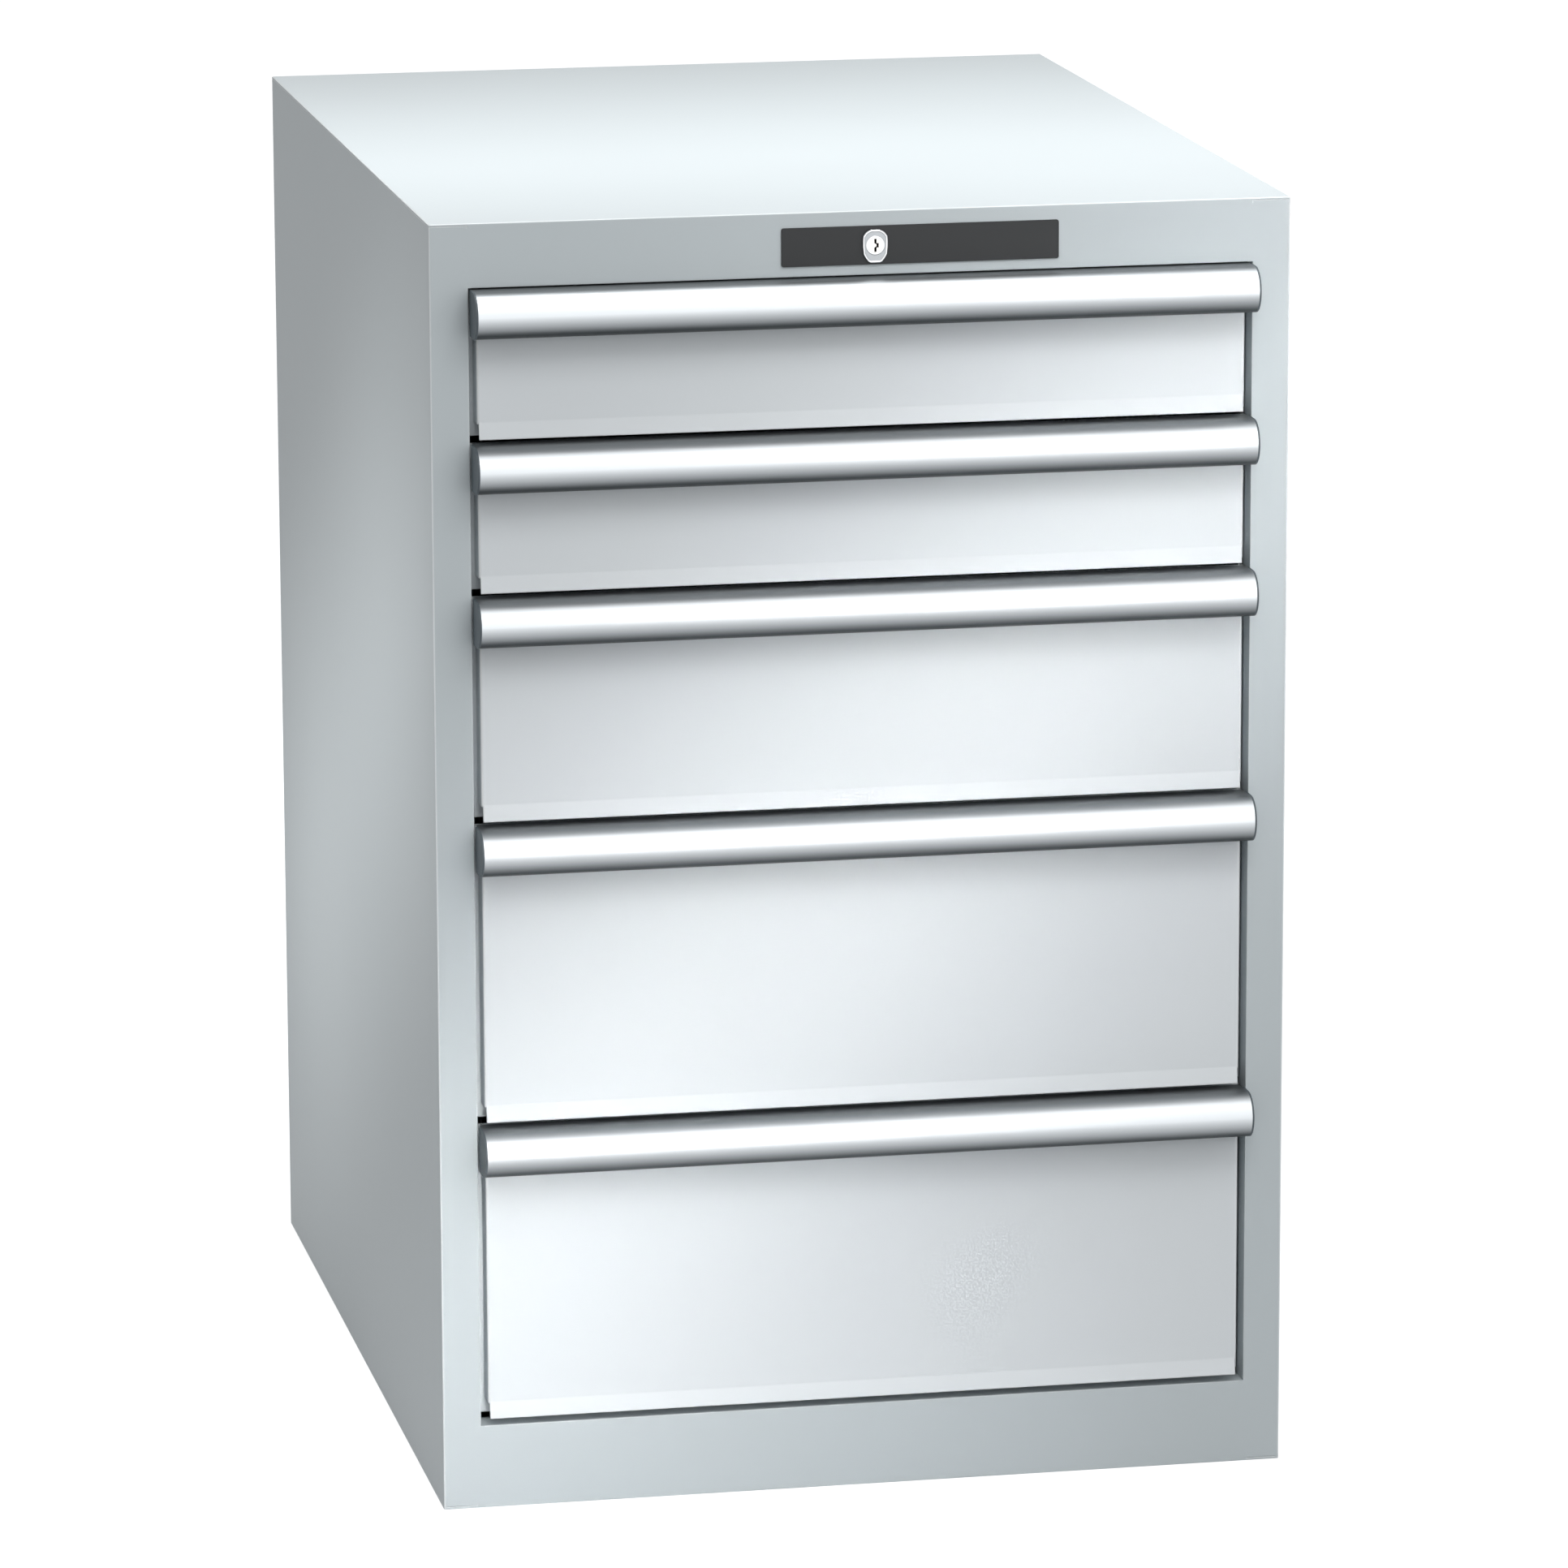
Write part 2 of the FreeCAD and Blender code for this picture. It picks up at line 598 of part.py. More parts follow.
def make_carriage(name, floor):
    """The plate between the two rails, with two axle holes and a guide shoe at its rear."""
    carriage = new_body(f"{name}_right_carriage", floor=f"{floor} + Sizes.rail_level")
    plate = new_sketch(carriage, "plate", "YZ_Plane", "Places.carriage_inside")
    half = "Sizes.carriage_half_height"
    nose = "Places.front_roller - Sizes.carriage_nose"
    tail = "Places.shoe + Sizes.shoe_half_length"
    add_rectangle(plate, (nose, f"-{half}"), (tail, half))
    for axle in ("Places.front_roller", "Places.middle_roller"):
        add_circle(plate, (axle, "0"), "Sizes.axle_radius + Sizes.axle_play")
    pad(carriage, plate, "Sizes.carriage_sheet")
    round_edges(carriage, "Sizes.carriage_corner", lambda edge: edge_runs(edge, along_x))
    shoe = new_sketch(carriage, "shoe", "YZ_Plane", "Places.carriage_outside")
    add_rectangle(
        shoe,
        ("Places.shoe - Sizes.shoe_half_length / 2", "-Sizes.wheel_radius"),
        ("Places.shoe + Sizes.shoe_half_length / 2", "Sizes.wheel_radius"),
    )
    shoe_width = "Places.outer_wheel + Sizes.wheel_width - Places.carriage_outside"
    pad(carriage, shoe, shoe_width)
    return carriage


def make_roller(name, place, axle):
    """Two wheels on one axle through the carriage plate: one in each rail."""
    drawer, floor = place
    roller = new_body(f"{drawer}_{name}", axle, f"{floor} + Sizes.rail_level")
    half_section = new_sketch(roller, "section", "XZ_Plane")
    rim = "Sizes.wheel_radius"
    edge = "Sizes.wheel_chamfer"
    points = []
    for wheel in ("Places.inner_wheel", "Places.outer_wheel"):
        far = f"{wheel} + Sizes.wheel_width"
        points.append([
            (wheel, "Sizes.hub_radius"),
            (wheel, f"{rim} - {edge}"),
            (f"{wheel} + {edge}", rim),
            (f"{far} - {edge}", rim),
            (far, f"{rim} - {edge}"),
            (far, "Sizes.hub_radius"),
        ])
    near_hub = "Places.carriage_inside - Sizes.hub_gap"
    far_hub = "Places.carriage_outside + Sizes.hub_gap"
    axle_part = [
        (near_hub, "Sizes.hub_radius"),
        (near_hub, "Sizes.axle_radius"),
        (far_hub, "Sizes.axle_radius"),
        (far_hub, "Sizes.hub_radius"),
    ]
    inner, outer = points
    start = (inner[0][0], "0")
    end = (outer[-1][0], "0")
    add_outline(half_section, [start] + inner[1:] + axle_part + outer[:-1] + [end])
    turned = roller.newObject("PartDesign::Revolution", f"{roller.Name}_turned")
    turned.Profile = half_section
    turned.ReferenceAxis = (half_section, ["H_Axis"])
    turned.Angle = 360
    roller.Tip = turned
    return roller


# Drawers


def make_front(name, floor, module):
    """The drawer front: a pan open to the rear, with a flared strip along its lower edge.

    A rim round its rear edge covers the gaps between the front and the posts.
    """
    front = new_body(f"{name}_front", floor=floor)
    sheet = "Sizes.front_sheet"
    top = f"{module} - Sizes.handle_wall"
    block = new_sketch(front, "block", "YZ_Plane")
    add_rectangle(block, ("0", f"Places.lip_top - {sheet}"), ("Sizes.front_depth", top))
    pad(front, block, "2 * Places.front_half", middle=True)
    half = number("Places.front_half")

    def is_upright_front_edge(edge):
        middle = edge.CenterOfMass
        return edge_runs(edge, along_z) and close(abs(middle.x), half) and close(middle.y, 0)

    round_edges(front, "Sizes.front_bend", is_upright_front_edge)
    rim = new_sketch(front, "rim", "XZ_Plane", "-Sizes.front_depth")
    rim_low = ("-Places.cap_outside", "Sizes.front_bottom_gap")
    add_rectangle(rim, rim_low, ("Places.cap_outside", top))
    pad(front, rim, sheet)
    hollow = new_sketch(front, "hollow", "XZ_Plane", "-Sizes.front_depth")
    side = f"Places.front_half - {sheet}"
    add_rectangle(hollow, (f"-({side})", "Places.lip_top"), (side, f"{top} - {sheet}"))
    pocket(front, hollow, f"Sizes.front_depth - {sheet}", reverse=True)
    lip = new_sketch(front, "lip", "YZ_Plane")
    add_outline(lip, [
        ("0", "Places.lip_top"),
        ("-Sizes.lip_flare", "Sizes.front_bottom_gap"),
        (f"{sheet} - Sizes.lip_flare", "Sizes.front_bottom_gap"),
        (sheet, "Places.lip_top"),
    ])
    pad(front, lip, "2 * Places.front_half - Sizes.front_bend", middle=True)
    return front


def make_handle(name, floor, module):
    """The handle profile: a saddle over the front, a strap on its face and a half-round grip."""
    handle = new_body(f"{name}_handle", floor=floor)
    wall = "Sizes.handle_wall"
    saddle = new_sketch(handle, "saddle", "YZ_Plane")
    add_outline(saddle, [
        ("Sizes.handle_saddle", module),
        ("-Sizes.handle_web", module),
        ("-Sizes.handle_web", f"{module} - {wall}"),
        (f"-{wall}", f"{module} - {wall}"),
        (f"-{wall}", f"{module} - Sizes.handle_strap"),
        ("0", f"{module} - Sizes.handle_strap"),
        ("0", f"{module} - {wall}"),
        ("Sizes.handle_saddle", f"{module} - {wall}"),
    ])
    pad(handle, saddle, "2 * Places.handle_half", middle=True)
    grip = new_sketch(handle, "grip", "YZ_Plane")
    centre = ("-Sizes.handle_web", f"{module} - Sizes.handle_radius")
    outer = add_half_round(grip, centre, "Sizes.handle_radius", 90)
    inner = add_half_round(grip, centre, f"Sizes.handle_radius - {wall}", 90)
    for end in (1, 2):
        add_line_between(grip, (outer, end), (inner, end))
    for arc in (outer, inner):
        for end in (1, 2):
            grip.addConstraint(Sketcher.Constraint("Vertical", arc, end, arc, 3))
    pad(handle, grip, "2 * Places.handle_half", middle=True)
    return handle


def make_handle_cap(name, floor, module):
    """The cap that closes the right end of the handle profile."""
    cap = new_body(f"{name}_right_cap", floor=floor)
    outline = new_sketch(cap, "outline", "YZ_Plane", "Places.handle_half")
    centre = ("-Sizes.handle_web", f"{module} - Sizes.handle_radius")
    arc = add_half_round(outline, centre, "Sizes.handle_radius", 90)
    for end in (1, 2):
        outline.addConstraint(Sketcher.Constraint("Vertical", arc, end, arc, 3))
    top_corner = Vector(0, number(module), 0)
    low_corner = Vector(0, number(f"{module} - 2 * Sizes.handle_radius"), 0)
    lines = []
    for ends in (
        (outline.getPoint(arc, 1), top_corner),
        (top_corner, low_corner),
        (low_corner, outline.getPoint(arc, 2)),
    ):
        lines.append(outline.addGeometry(Part.LineSegment(*ends), False))
    upper, back, lower = lines
    for first, first_end, second, second_end in (
        (arc, 1, upper, 1),
        (upper, 2, back, 1),
        (back, 2, lower, 1),
        (lower, 2, arc, 2),
    ):
        outline.addConstraint(
            Sketcher.Constraint("Coincident", first, first_end, second, second_end)
        )
    outline.addConstraint(Sketcher.Constraint("Horizontal", upper))
    outline.addConstraint(Sketcher.Constraint("Horizontal", lower))
    outline.addConstraint(Sketcher.Constraint("PointOnObject", back, 1, -2))
    outline.addConstraint(Sketcher.Constraint("Vertical", back))
    pad(cap, outline, "Sizes.handle_cap")
    return cap


def make_box_sheet(name, floor, level, corners, height):
    """One sheet of a drawer box: two corners of its outline from above, and its height."""
    sheet = new_body(name, floor=floor)
    outline = new_sketch(sheet, "outline", "XY_Plane", level)
    add_rectangle(outline, *corners)
    pad(sheet, outline, height)
    return sheet


def make_box(name, floor, module):
    """The drawer box: four walls welded to a floor; the front wall reaches the front's top."""
    sheet = "Sizes.box_sheet"
    side = "Places.box_half"
    inside = f"({side} - {sheet})"
    front = "Sizes.front_depth"
    back = "Places.box_back"
    foot = f"(Sizes.box_floor + {sheet})"
    wall_height = f"{module} - Sizes.box_top_gap - {foot}"
    front_height = f"{module} - Sizes.handle_wall - {foot}"
    whole_floor = ((f"-{side}", front), (side, back))
    right_wall = ((inside, f"{front} + {sheet}"), (side, back))
    back_wall = ((f"-{inside}", f"{back} - {sheet}"), (inside, back))
    front_wall = ((f"-{side}", front), (side, f"{front} + {sheet}"))
    right = make_box_sheet(f"{name}_box_side", floor, foot, right_wall, wall_height)
    return group(f"{name}_box", [
        make_box_sheet(f"{name}_box_floor", floor, "Sizes.box_floor", whole_floor, sheet),
        right,
        mirrored(right),
        make_box_sheet(f"{name}_box_back", floor, foot, back_wall, wall_height),
        make_box_sheet(f"{name}_box_front", floor, foot, front_wall, front_height),
    ])


# Lock


def make_lock_plate():
    """The dark plate on the upper rail that the lock sits in."""
    plate = new_body("lock_cover_plate")
    outline = new_sketch(plate, "outline", "XZ_Plane")
    low = ("Places.lock_plate_x", "Places.lock_plate_z")
    high = (
        "Places.lock_plate_x + Sizes.lock_plate_width",
        "Places.lock_plate_z + Sizes.lock_plate_height",
    )
    add_rectangle(outline, low, high)
    pad(plate, outline, "Sizes.lock_plate_sheet")
    round_edges(plate, "Sizes.lock_plate_corner", lambda edge: edge_runs(edge, along_y))
    hole = new_sketch(plate, "hole", "XZ_Plane")
    add_circle(hole, ("Places.lock_x", "Places.lock_z"), "Sizes.case_radius + Sizes.case_play")
    pocket(plate, hole, "Sizes.lock_plate_sheet", reverse=True)
    return plate


def place_at_lock(body):
    """Moves a body's own origin to the lock's axis."""
    body.setExpression("Placement.Base.x", "Places.lock_x")
    body.setExpression("Placement.Base.z", "Places.lock_z")


def make_escutcheon():
    """The shield round the plug: a round head that tapers to a flat foot."""
    shield = new_body("lock_escutcheon")
    place_at_lock(shield)
    outline = new_sketch(shield, "outline", "XZ_Plane", "Sizes.lock_plate_sheet")
    centre = ("0", "Sizes.shield_rise - Sizes.shield_width / 2")
    arc = add_half_round(outline, centre, "Sizes.shield_width / 2", 0)
    for end in (1, 2):
        outline.addConstraint(Sketcher.Constraint("Horizontal", arc, end, arc, 3))
    feet = [("-Sizes.shield_foot / 2", "-Sizes.shield_fall")]
    feet.append(("Sizes.shield_foot / 2", "-Sizes.shield_fall"))
    left_foot, right_foot = [Vector(number(x), number(z), 0) for x, z in feet]
    left = outline.addGeometry(Part.LineSegment(outline.getPoint(arc, 2), left_foot), False)
    foot = outline.addGeometry(Part.LineSegment(left_foot, right_foot), False)
    right = outline.addGeometry(Part.LineSegment(right_foot, outline.getPoint(arc, 1)), False)
    for first, first_end, second, second_end in (
        (arc, 2, left, 1),
        (left, 2, foot, 1),
        (foot, 2, right, 1),
        (right, 2, arc, 1),
    ):
        outline.addConstraint(
            Sketcher.Constraint("Coincident", first, first_end, second, second_end)
        )
    pin_point(outline, foot, 1, feet[0])
    pin_point(outline, foot, 2, feet[1])
    add_circle(outline, ("0", "0"), "Sizes.plug_radius + Sizes.plug_play")
    pad(shield, outline, "Sizes.shield_sheet")
    face = -number("Places.shield_face")

    def is_outer_face_edge(edge):
        at_face = close(edge.BoundBox.YMin, face) and close(edge.BoundBox.YMax, face)
        return at_face and not edge.isClosed()

    round_edges(shield, "Sizes.shield_edge", is_outer_face_edge)
    return shield


def make_lock_case():
    """The cylinder case behind the plate, bored for the plug."""
    case = new_body("lock_cylinder_case")
    place_at_lock(case)
    section = new_sketch(case, "section", "XZ_Plane", "Sizes.lock_plate_sheet")
    add_circle(section, ("0", "0"), "Sizes.case_radius")
    add_circle(section, ("0", "0"), "Sizes.plug_radius + Sizes.plug_play")
    pad(case, section, "Sizes.lock_plate_sheet + Sizes.case_length", reverse=True)
    return case


def make_plug():
    """The plug that the key turns, with its stepped keyway."""
    plug = new_body("lock_plug")
    place_at_lock(plug)
    section = new_sketch(plug, "section", "XZ_Plane", "Places.shield_face")
    add_circle(section, ("0", "0"), "Sizes.plug_radius")
    pad(plug, section, "Places.shield_face + Places.crank_depth", reverse=True)
    keyway = new_sketch(plug, "keyway", "XZ_Plane", "Places.shield_face")
    rise = "Sizes.keyway_rise"
    half = "Sizes.keyway_width / 2"
    add_outline(keyway, [
        (f"-{half}", f"-{rise}"),
        (half, f"-{rise}"),
        (half, f"-{rise} / 3"),
        (f"3 * {half}", f"-{rise} / 3"),
        (f"3 * {half}", f"{rise} / 3"),
        (half, f"{rise} / 3"),
        (half, rise),
        (f"-{half}", rise),
        (f"-{half}", f"{rise} / 3"),
        (half, f"{rise} / 6"),
        (half, f"-{rise} / 6"),
        (f"-{half}", f"-{rise} / 3"),
    ])
    pocket(plug, keyway, "Sizes.keyway_depth")
    return plug


def make_crank():
    """The arm on the plug's tail, whose pin drives the transfer bar; unlocked at 45 degrees."""
    crank = new_body("lock_crank")
    crank.Placement = Placement(Vector(0, 0, 0), Rotation(along_y, -45))
    place_at_lock(crank)
    crank.setExpression("Placement.Base.y", "Places.front_y")
    arm = new_sketch(crank, "arm", "XZ_Plane", "-Places.crank_depth")
    half = "Sizes.crank_half_width"
    add_rectangle(
        arm,
        (f"-{half}", f"-{half}"),
        (half, f"Sizes.crank_radius + {half}"),
    )
    pad(crank, arm, "Sizes.lock_sheet", reverse=True)
    pin = new_sketch(crank, "pin", "XZ_Plane", "-Places.crank_back")
    add_circle(pin, ("0", "Sizes.crank_radius"), "Sizes.lock_pin_radius")
    pad(crank, pin, "Places.bar_back - Places.crank_back", reverse=True)
    return crank


def make_transfer_bar():
    """The bar that the crank pushes sideways, with a slanted slot that lifts the rod."""
    bar = new_body("lock_transfer_bar")
    outline = new_sketch(bar, "outline", "XZ_Plane", "-Places.bar_depth")
    add_rectangle(
        outline,
        ("Places.lock_x - Sizes.bar_tail", "Places.bar_low"),
        ("Places.bar_end", "Places.bar_high"),
    )
    pad(bar, outline, "Sizes.lock_sheet", reverse=True)
    slots = new_sketch(bar, "slots", "XZ_Plane", "-Places.bar_depth")
    crank_x = "Places.lock_x - Places.crank_shift"
    add_rectangle(
        slots,
        (f"{crank_x} - Places.slot_half", "Places.lock_z + Places.crank_shift - Places.slot_half"),
        (f"{crank_x} + Places.slot_half", "Places.lock_z + Sizes.crank_radius + Places.slot_half"),
    )
    add_outline(slots, [
        ("Places.rod_pin_x + Places.slot_corner", "Places.rod_pin_z"),
        (
            "Places.rod_pin_x - Places.lock_throw",
            "Places.rod_pin_z + Places.lock_throw + Places.slot_corner",
        ),
        (
            "Places.rod_pin_x - Places.lock_throw - Places.slot_corner",
            "Places.rod_pin_z + Places.lock_throw",
        ),
        ("Places.rod_pin_x", "Places.rod_pin_z - Places.slot_corner"),
    ])
    pocket(bar, slots, "Sizes.lock_sheet")
    return bar


def make_rod_plate(name, low, high):
    """A flat plate in the lock rod's plane, between two opposite corners of its face."""
    plate = new_body(name)
    outline = new_sketch(plate, "outline", "XZ_Plane", "-Places.crank_depth")
    add_rectangle(outline, low, high)
    pad(plate, outline, "Sizes.lock_sheet", reverse=True)
    return plate


def make_lock_rod():
    """The rod behind the right post, which rises to lock, with the hooks and the ear welded to it."""
    lowest_hook = "Places.drawer_5_floor + Places.hook_foot"
    ear_low = "Places.rod_pin_z - Sizes.rod_ear"
    ear_high = "Places.rod_pin_z + Sizes.rod_ear"
    spine_low = ("Places.rod_inside", f"{lowest_hook} - Sizes.rod_tail")
    plates = [make_rod_plate("rod_spine", spine_low, ("Places.rod_outside", ear_high))]
    for step in drawers:
        floor = f"Places.drawer_{step}_floor"
        low = ("Places.hook_tip", f"{floor} + Places.hook_foot")
        high = ("Places.rod_inside", f"{floor} + Places.hook_top")
        plates.append(make_rod_plate(f"rod_hook_{step}", low, high))
    ear_tip = "Places.rod_pin_x - Sizes.rod_ear"
    ear = make_rod_plate("rod_ear", (ear_tip, ear_low), ("Places.rod_inside", ear_high))
    pin = new_sketch(ear, "pin", "XZ_Plane", "-Places.crank_back")
    add_circle(pin, ("Places.rod_pin_x", "Places.rod_pin_z"), "Sizes.lock_pin_radius")
    pad(ear, pin, "Places.bar_back - Places.crank_back", reverse=True)
    plates.append(ear)
    return group("lock_rod", plates)


def make_rod_guide(name, level):
    """A guide on the right front upright that holds the rod from three sides."""
    guide = new_body(name, floor=level)
    section = new_sketch(guide, "section", "XY_Plane")
    play = "Sizes.guide_play"
    wall = "Sizes.guide_wall"
    foot = "Sizes.cabinet_rail_front"
    start = "Places.rod_inside + Sizes.rod_ear"
    outside = f"Places.rod_outside + {play} + {wall}"
    rod_front = f"Places.crank_depth - {play}"
    rod_back = f"Places.crank_back + {play}"
    lip = "Places.rod_outside - Sizes.rod_ear"
    add_outline(section, [
        (start, foot),
        (outside, foot),
        (outside, f"{rod_front} - {wall}"),
        (lip, f"{rod_front} - {wall}"),
        (lip, rod_front),
        (f"Places.rod_outside + {play}", rod_front),
        (f"Places.rod_outside + {play}", rod_back),
        (start, rod_back),
    ])
    pad(guide, section, "Sizes.guide_length")
    return guide


def make_bar_guide(name, place):
    """A loop under the top panel that the transfer bar slides through."""
    guide = new_body(name)
    section = new_sketch(guide, "section", "YZ_Plane", place)
    play = "Sizes.guide_play"
    wall = "Sizes.guide_wall"
    near = f"Places.bar_depth - {play}"
    far = f"Places.bar_back + {play}"
    under = f"Places.bar_low - {play}"
    low = (f"{near} - {wall}", f"{under} - {wall}")
    high = (f"{far} + {wall}", "Places.height - Sizes.housing_sheet")
    add_rectangle(section, low, high)
    add_rectangle(section, (near, under), (far, f"Places.bar_high + {play}"))
    pad(guide, section, "Sizes.guide_length")
    return guide


# The cabinet

right_wall = make_side_wall("right_side_wall")
left_wall = mirrored(right_wall)
left_wall.Label = "left_side_wall"
uprights = [
    make_upright("front_upright", "Sizes.cabinet_rail_front"),
    make_upright("rear_upright", "Places.rear_upright"),
]
nodes = {
    "right_side_wall": right_wall,
    "left_side_wall": left_wall,
    "top_panel": make_top_panel(),
    "base_pan": make_base_pan(),
    "back_wall": make_back_wall(),
    "slide_uprights": group("slide_uprights", uprights + [mirrored(one) for one in uprights]),
    "lock_cover_plate": make_lock_plate(),
    "lock_escutcheon": make_escutcheon(),
    "lock_cylinder_case": make_lock_case(),
    "lock_plug": make_plug(),
    "lock_crank": make_crank(),
    "lock_transfer_bar": make_transfer_bar(),
    "lock_rod": make_lock_rod(),
}

stack_middle = "(Places.drawer_5_floor + Places.opening_top) / 2"
guides = [
    make_rod_guide("low_rod_guide", "Places.drawer_5_floor + Sizes.guide_rise"),
    make_rod_guide("middle_rod_guide", stack_middle),
    make_rod_guide("high_rod_guide", "Places.opening_top - Sizes.guide_rise"),
    make_bar_guide("left_bar_guide", "Places.lock_x + Sizes.bar_guide_spacing"),
    make_bar_guide("right_bar_guide", "Places.lock_x + 2 * Sizes.bar_guide_spacing"),
]
nodes["lock_guides"] = group("lock_guides", guides)

rails = [make_cabinet_rail(step) for step in drawers]
nodes["cabinet_rails"] = group("cabinet_rails", rails + [mirrored(rail) for rail in rails])

for step in drawers:
    name = f"drawer_{step}"
    floor = f"Places.drawer_{step}_floor"
    module = f"Sizes.drawer_{step}_height"
    nodes[f"{name}_front"] = make_front(name, floor, module)
    nodes[f"{name}_handle"] = make_handle(name, floor, module)
    nodes[f"{name}_box"] = make_box(name, floor, module)
    cap = make_handle_cap(name, floor, module)
    nodes[f"{name}_handle_caps"] = pair(f"{name}_handle_caps", cap)
    nodes[f"{name}_rails"] = pair(f"{name}_rails", make_drawer_rail(name, floor))
    nodes[f"{name}_catch"] = make_catch(name, floor)
    nodes[f"{name}_carriages"] = pair(f"{name}_carriages", make_carriage(name, floor))
    front_roller = make_roller("right_front_roller", (name, floor), "Places.front_roller")
    middle_roller = make_roller("right_middle_roller", (name, floor), "Places.middle_roller")
    nodes[f"{name}_front_rollers"] = pair(f"{name}_front_rollers", front_roller)
    nodes[f"{name}_middle_rollers"] = pair(f"{name}_middle_rollers", middle_roller)

doc.recompute()

for item in doc.Objects:
    if "Invalid" in item.State or "Error" in item.State:
        raise RuntimeError(f"{item.Name} has not been built")
for name, item in nodes.items():
    if item.Label != name:
        raise RuntimeError(f"{item.Name} is labelled {item.Label}, not {name}")
    if item.Shape.isNull() or not item.Shape.isValid() or not item.Shape.Solids:
        raise RuntimeError(f"{name} has no valid solid")

os.makedirs("parts", exist_ok=True)
for name, item in nodes.items():
    item.Shape.exportStep(f"parts/{name}.step")
print(f"{len(nodes)} nodes, {number('Places.height')} mm high, drawers run {number('Places.travel')} mm")
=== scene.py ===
import json
from math import cos, pi, radians, sin

import bpy
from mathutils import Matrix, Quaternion, Vector

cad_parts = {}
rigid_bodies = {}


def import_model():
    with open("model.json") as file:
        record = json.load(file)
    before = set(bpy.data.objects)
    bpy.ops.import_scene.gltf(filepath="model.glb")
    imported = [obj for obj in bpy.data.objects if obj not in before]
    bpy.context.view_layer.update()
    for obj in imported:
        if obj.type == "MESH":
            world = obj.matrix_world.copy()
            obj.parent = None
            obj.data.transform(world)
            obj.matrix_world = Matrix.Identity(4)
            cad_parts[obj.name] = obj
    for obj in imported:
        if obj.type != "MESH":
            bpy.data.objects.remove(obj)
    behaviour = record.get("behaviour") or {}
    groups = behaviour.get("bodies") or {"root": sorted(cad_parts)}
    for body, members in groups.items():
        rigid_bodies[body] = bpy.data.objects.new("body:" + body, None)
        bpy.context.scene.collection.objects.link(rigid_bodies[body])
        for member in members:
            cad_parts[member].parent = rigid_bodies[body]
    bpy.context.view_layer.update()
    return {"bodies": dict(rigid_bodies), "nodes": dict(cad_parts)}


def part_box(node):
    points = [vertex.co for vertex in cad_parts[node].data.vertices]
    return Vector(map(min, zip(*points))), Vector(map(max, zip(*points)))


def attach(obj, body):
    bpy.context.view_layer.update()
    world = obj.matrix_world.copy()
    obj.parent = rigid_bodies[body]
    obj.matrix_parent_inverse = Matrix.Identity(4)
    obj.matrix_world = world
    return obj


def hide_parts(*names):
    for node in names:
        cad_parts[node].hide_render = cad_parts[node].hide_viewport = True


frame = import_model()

mm = 0.001
drawers = sorted(name for name in frame["bodies"] if name.startswith("drawer_") and name.count("_") == 1)
print("frame loaded:", len(frame["nodes"]), "nodes,", len(drawers), "drawers")


# Node trees and colours

bevelSamples = 4
noiseSpan = (0.3, 0.7)      # range that a noise mostly keeps to


def linear(hexColour):
    channels = [int(hexColour[i:i + 2], 16) / 255 for i in (1, 3, 5)]
    bent = [c / 12.92 if c <= 0.04045 else ((c + 0.055) / 1.055) ** 2.4 for c in channels]
    return (*bent, 1.0)


def addNode(tree, kind, inputs=None, **settings):
    node = tree.nodes.new(kind)
    for name, value in settings.items():
        setattr(node, name, value)
    for key, value in (inputs or {}).items():
        if isinstance(key, int):
            socket = node.inputs[key]
        else:
            socket = next(s for s in node.inputs if s.name == key and s.enabled)
        if isinstance(value, bpy.types.NodeSocket):
            tree.links.new(value, socket)
        else:
            socket.default_value = value
    return node


def calculate(tree, operation, first, second=0.0, third=None, clamp=False):
    values = {0: first, 1: second}
    if third is not None:
        values[2] = third
    return addNode(tree, "ShaderNodeMath", values, operation=operation, use_clamp=clamp).outputs[0]


def remap(tree, value, fromMin=0.0, fromMax=1.0, toMin=0.0, toMax=1.0):
    return addNode(tree, "ShaderNodeMapRange", {
        "Value": value, "From Min": fromMin, "From Max": fromMax,
        "To Min": toMin, "To Max": toMax}).outputs[0]


def splitVector(tree, vector):
    return addNode(tree, "ShaderNodeSeparateXYZ", {0: vector}).outputs


def joinVector(tree, **parts):
    return addNode(tree, "ShaderNodeCombineXYZ", parts).outputs[0]


def mixColours(tree, factor, first, second, blend="MIX"):
    return addNode(tree, "ShaderNodeMix", {
        "Factor": factor, 6: first, 7: second}, data_type="RGBA", blend_type=blend).outputs[2]


def addNoise(tree, place, size, detail):
    return addNode(tree, "ShaderNodeTexNoise", {
        "Vector": place, "Scale": 1 / size, "Detail": detail}).outputs["Fac"]


def addBump(tree, strength, distance, height, normal=None):
    inputs = {"Strength": strength, "Distance": distance, "Height": height}
    if normal:
        inputs["Normal"] = normal
    return addNode(tree, "ShaderNodeBump", inputs).outputs[0]


def roundEdges(tree, radius):
    return addNode(tree, "ShaderNodeBevel", {"Radius": radius}, samples=bevelSamples).outputs[0]


def newMaterial(name):
    material = bpy.data.materials.new(name)
    material.use_nodes = True
    tree = material.node_tree
    tree.nodes.clear()
    output = addNode(tree, "ShaderNodeOutputMaterial")
    shader = addNode(tree, "ShaderNodeBsdfPrincipled")
    tree.links.new(shader.outputs["BSDF"], output.inputs["Surface"])
    place = addNode(tree, "ShaderNodeTexCoord").outputs["Object"]
    return material, tree, shader, place


def linkShader(tree, shader, **sockets):
    for name, source in sockets.items():
        tree.links.new(source, shader.inputs[name.replace("_", " ")])


def dress(material, *names):
    for name in names:
        mesh = frame["nodes"][name].data
        mesh.materials.clear()
        mesh.materials.append(material)


# Camera: where the photograph was taken from

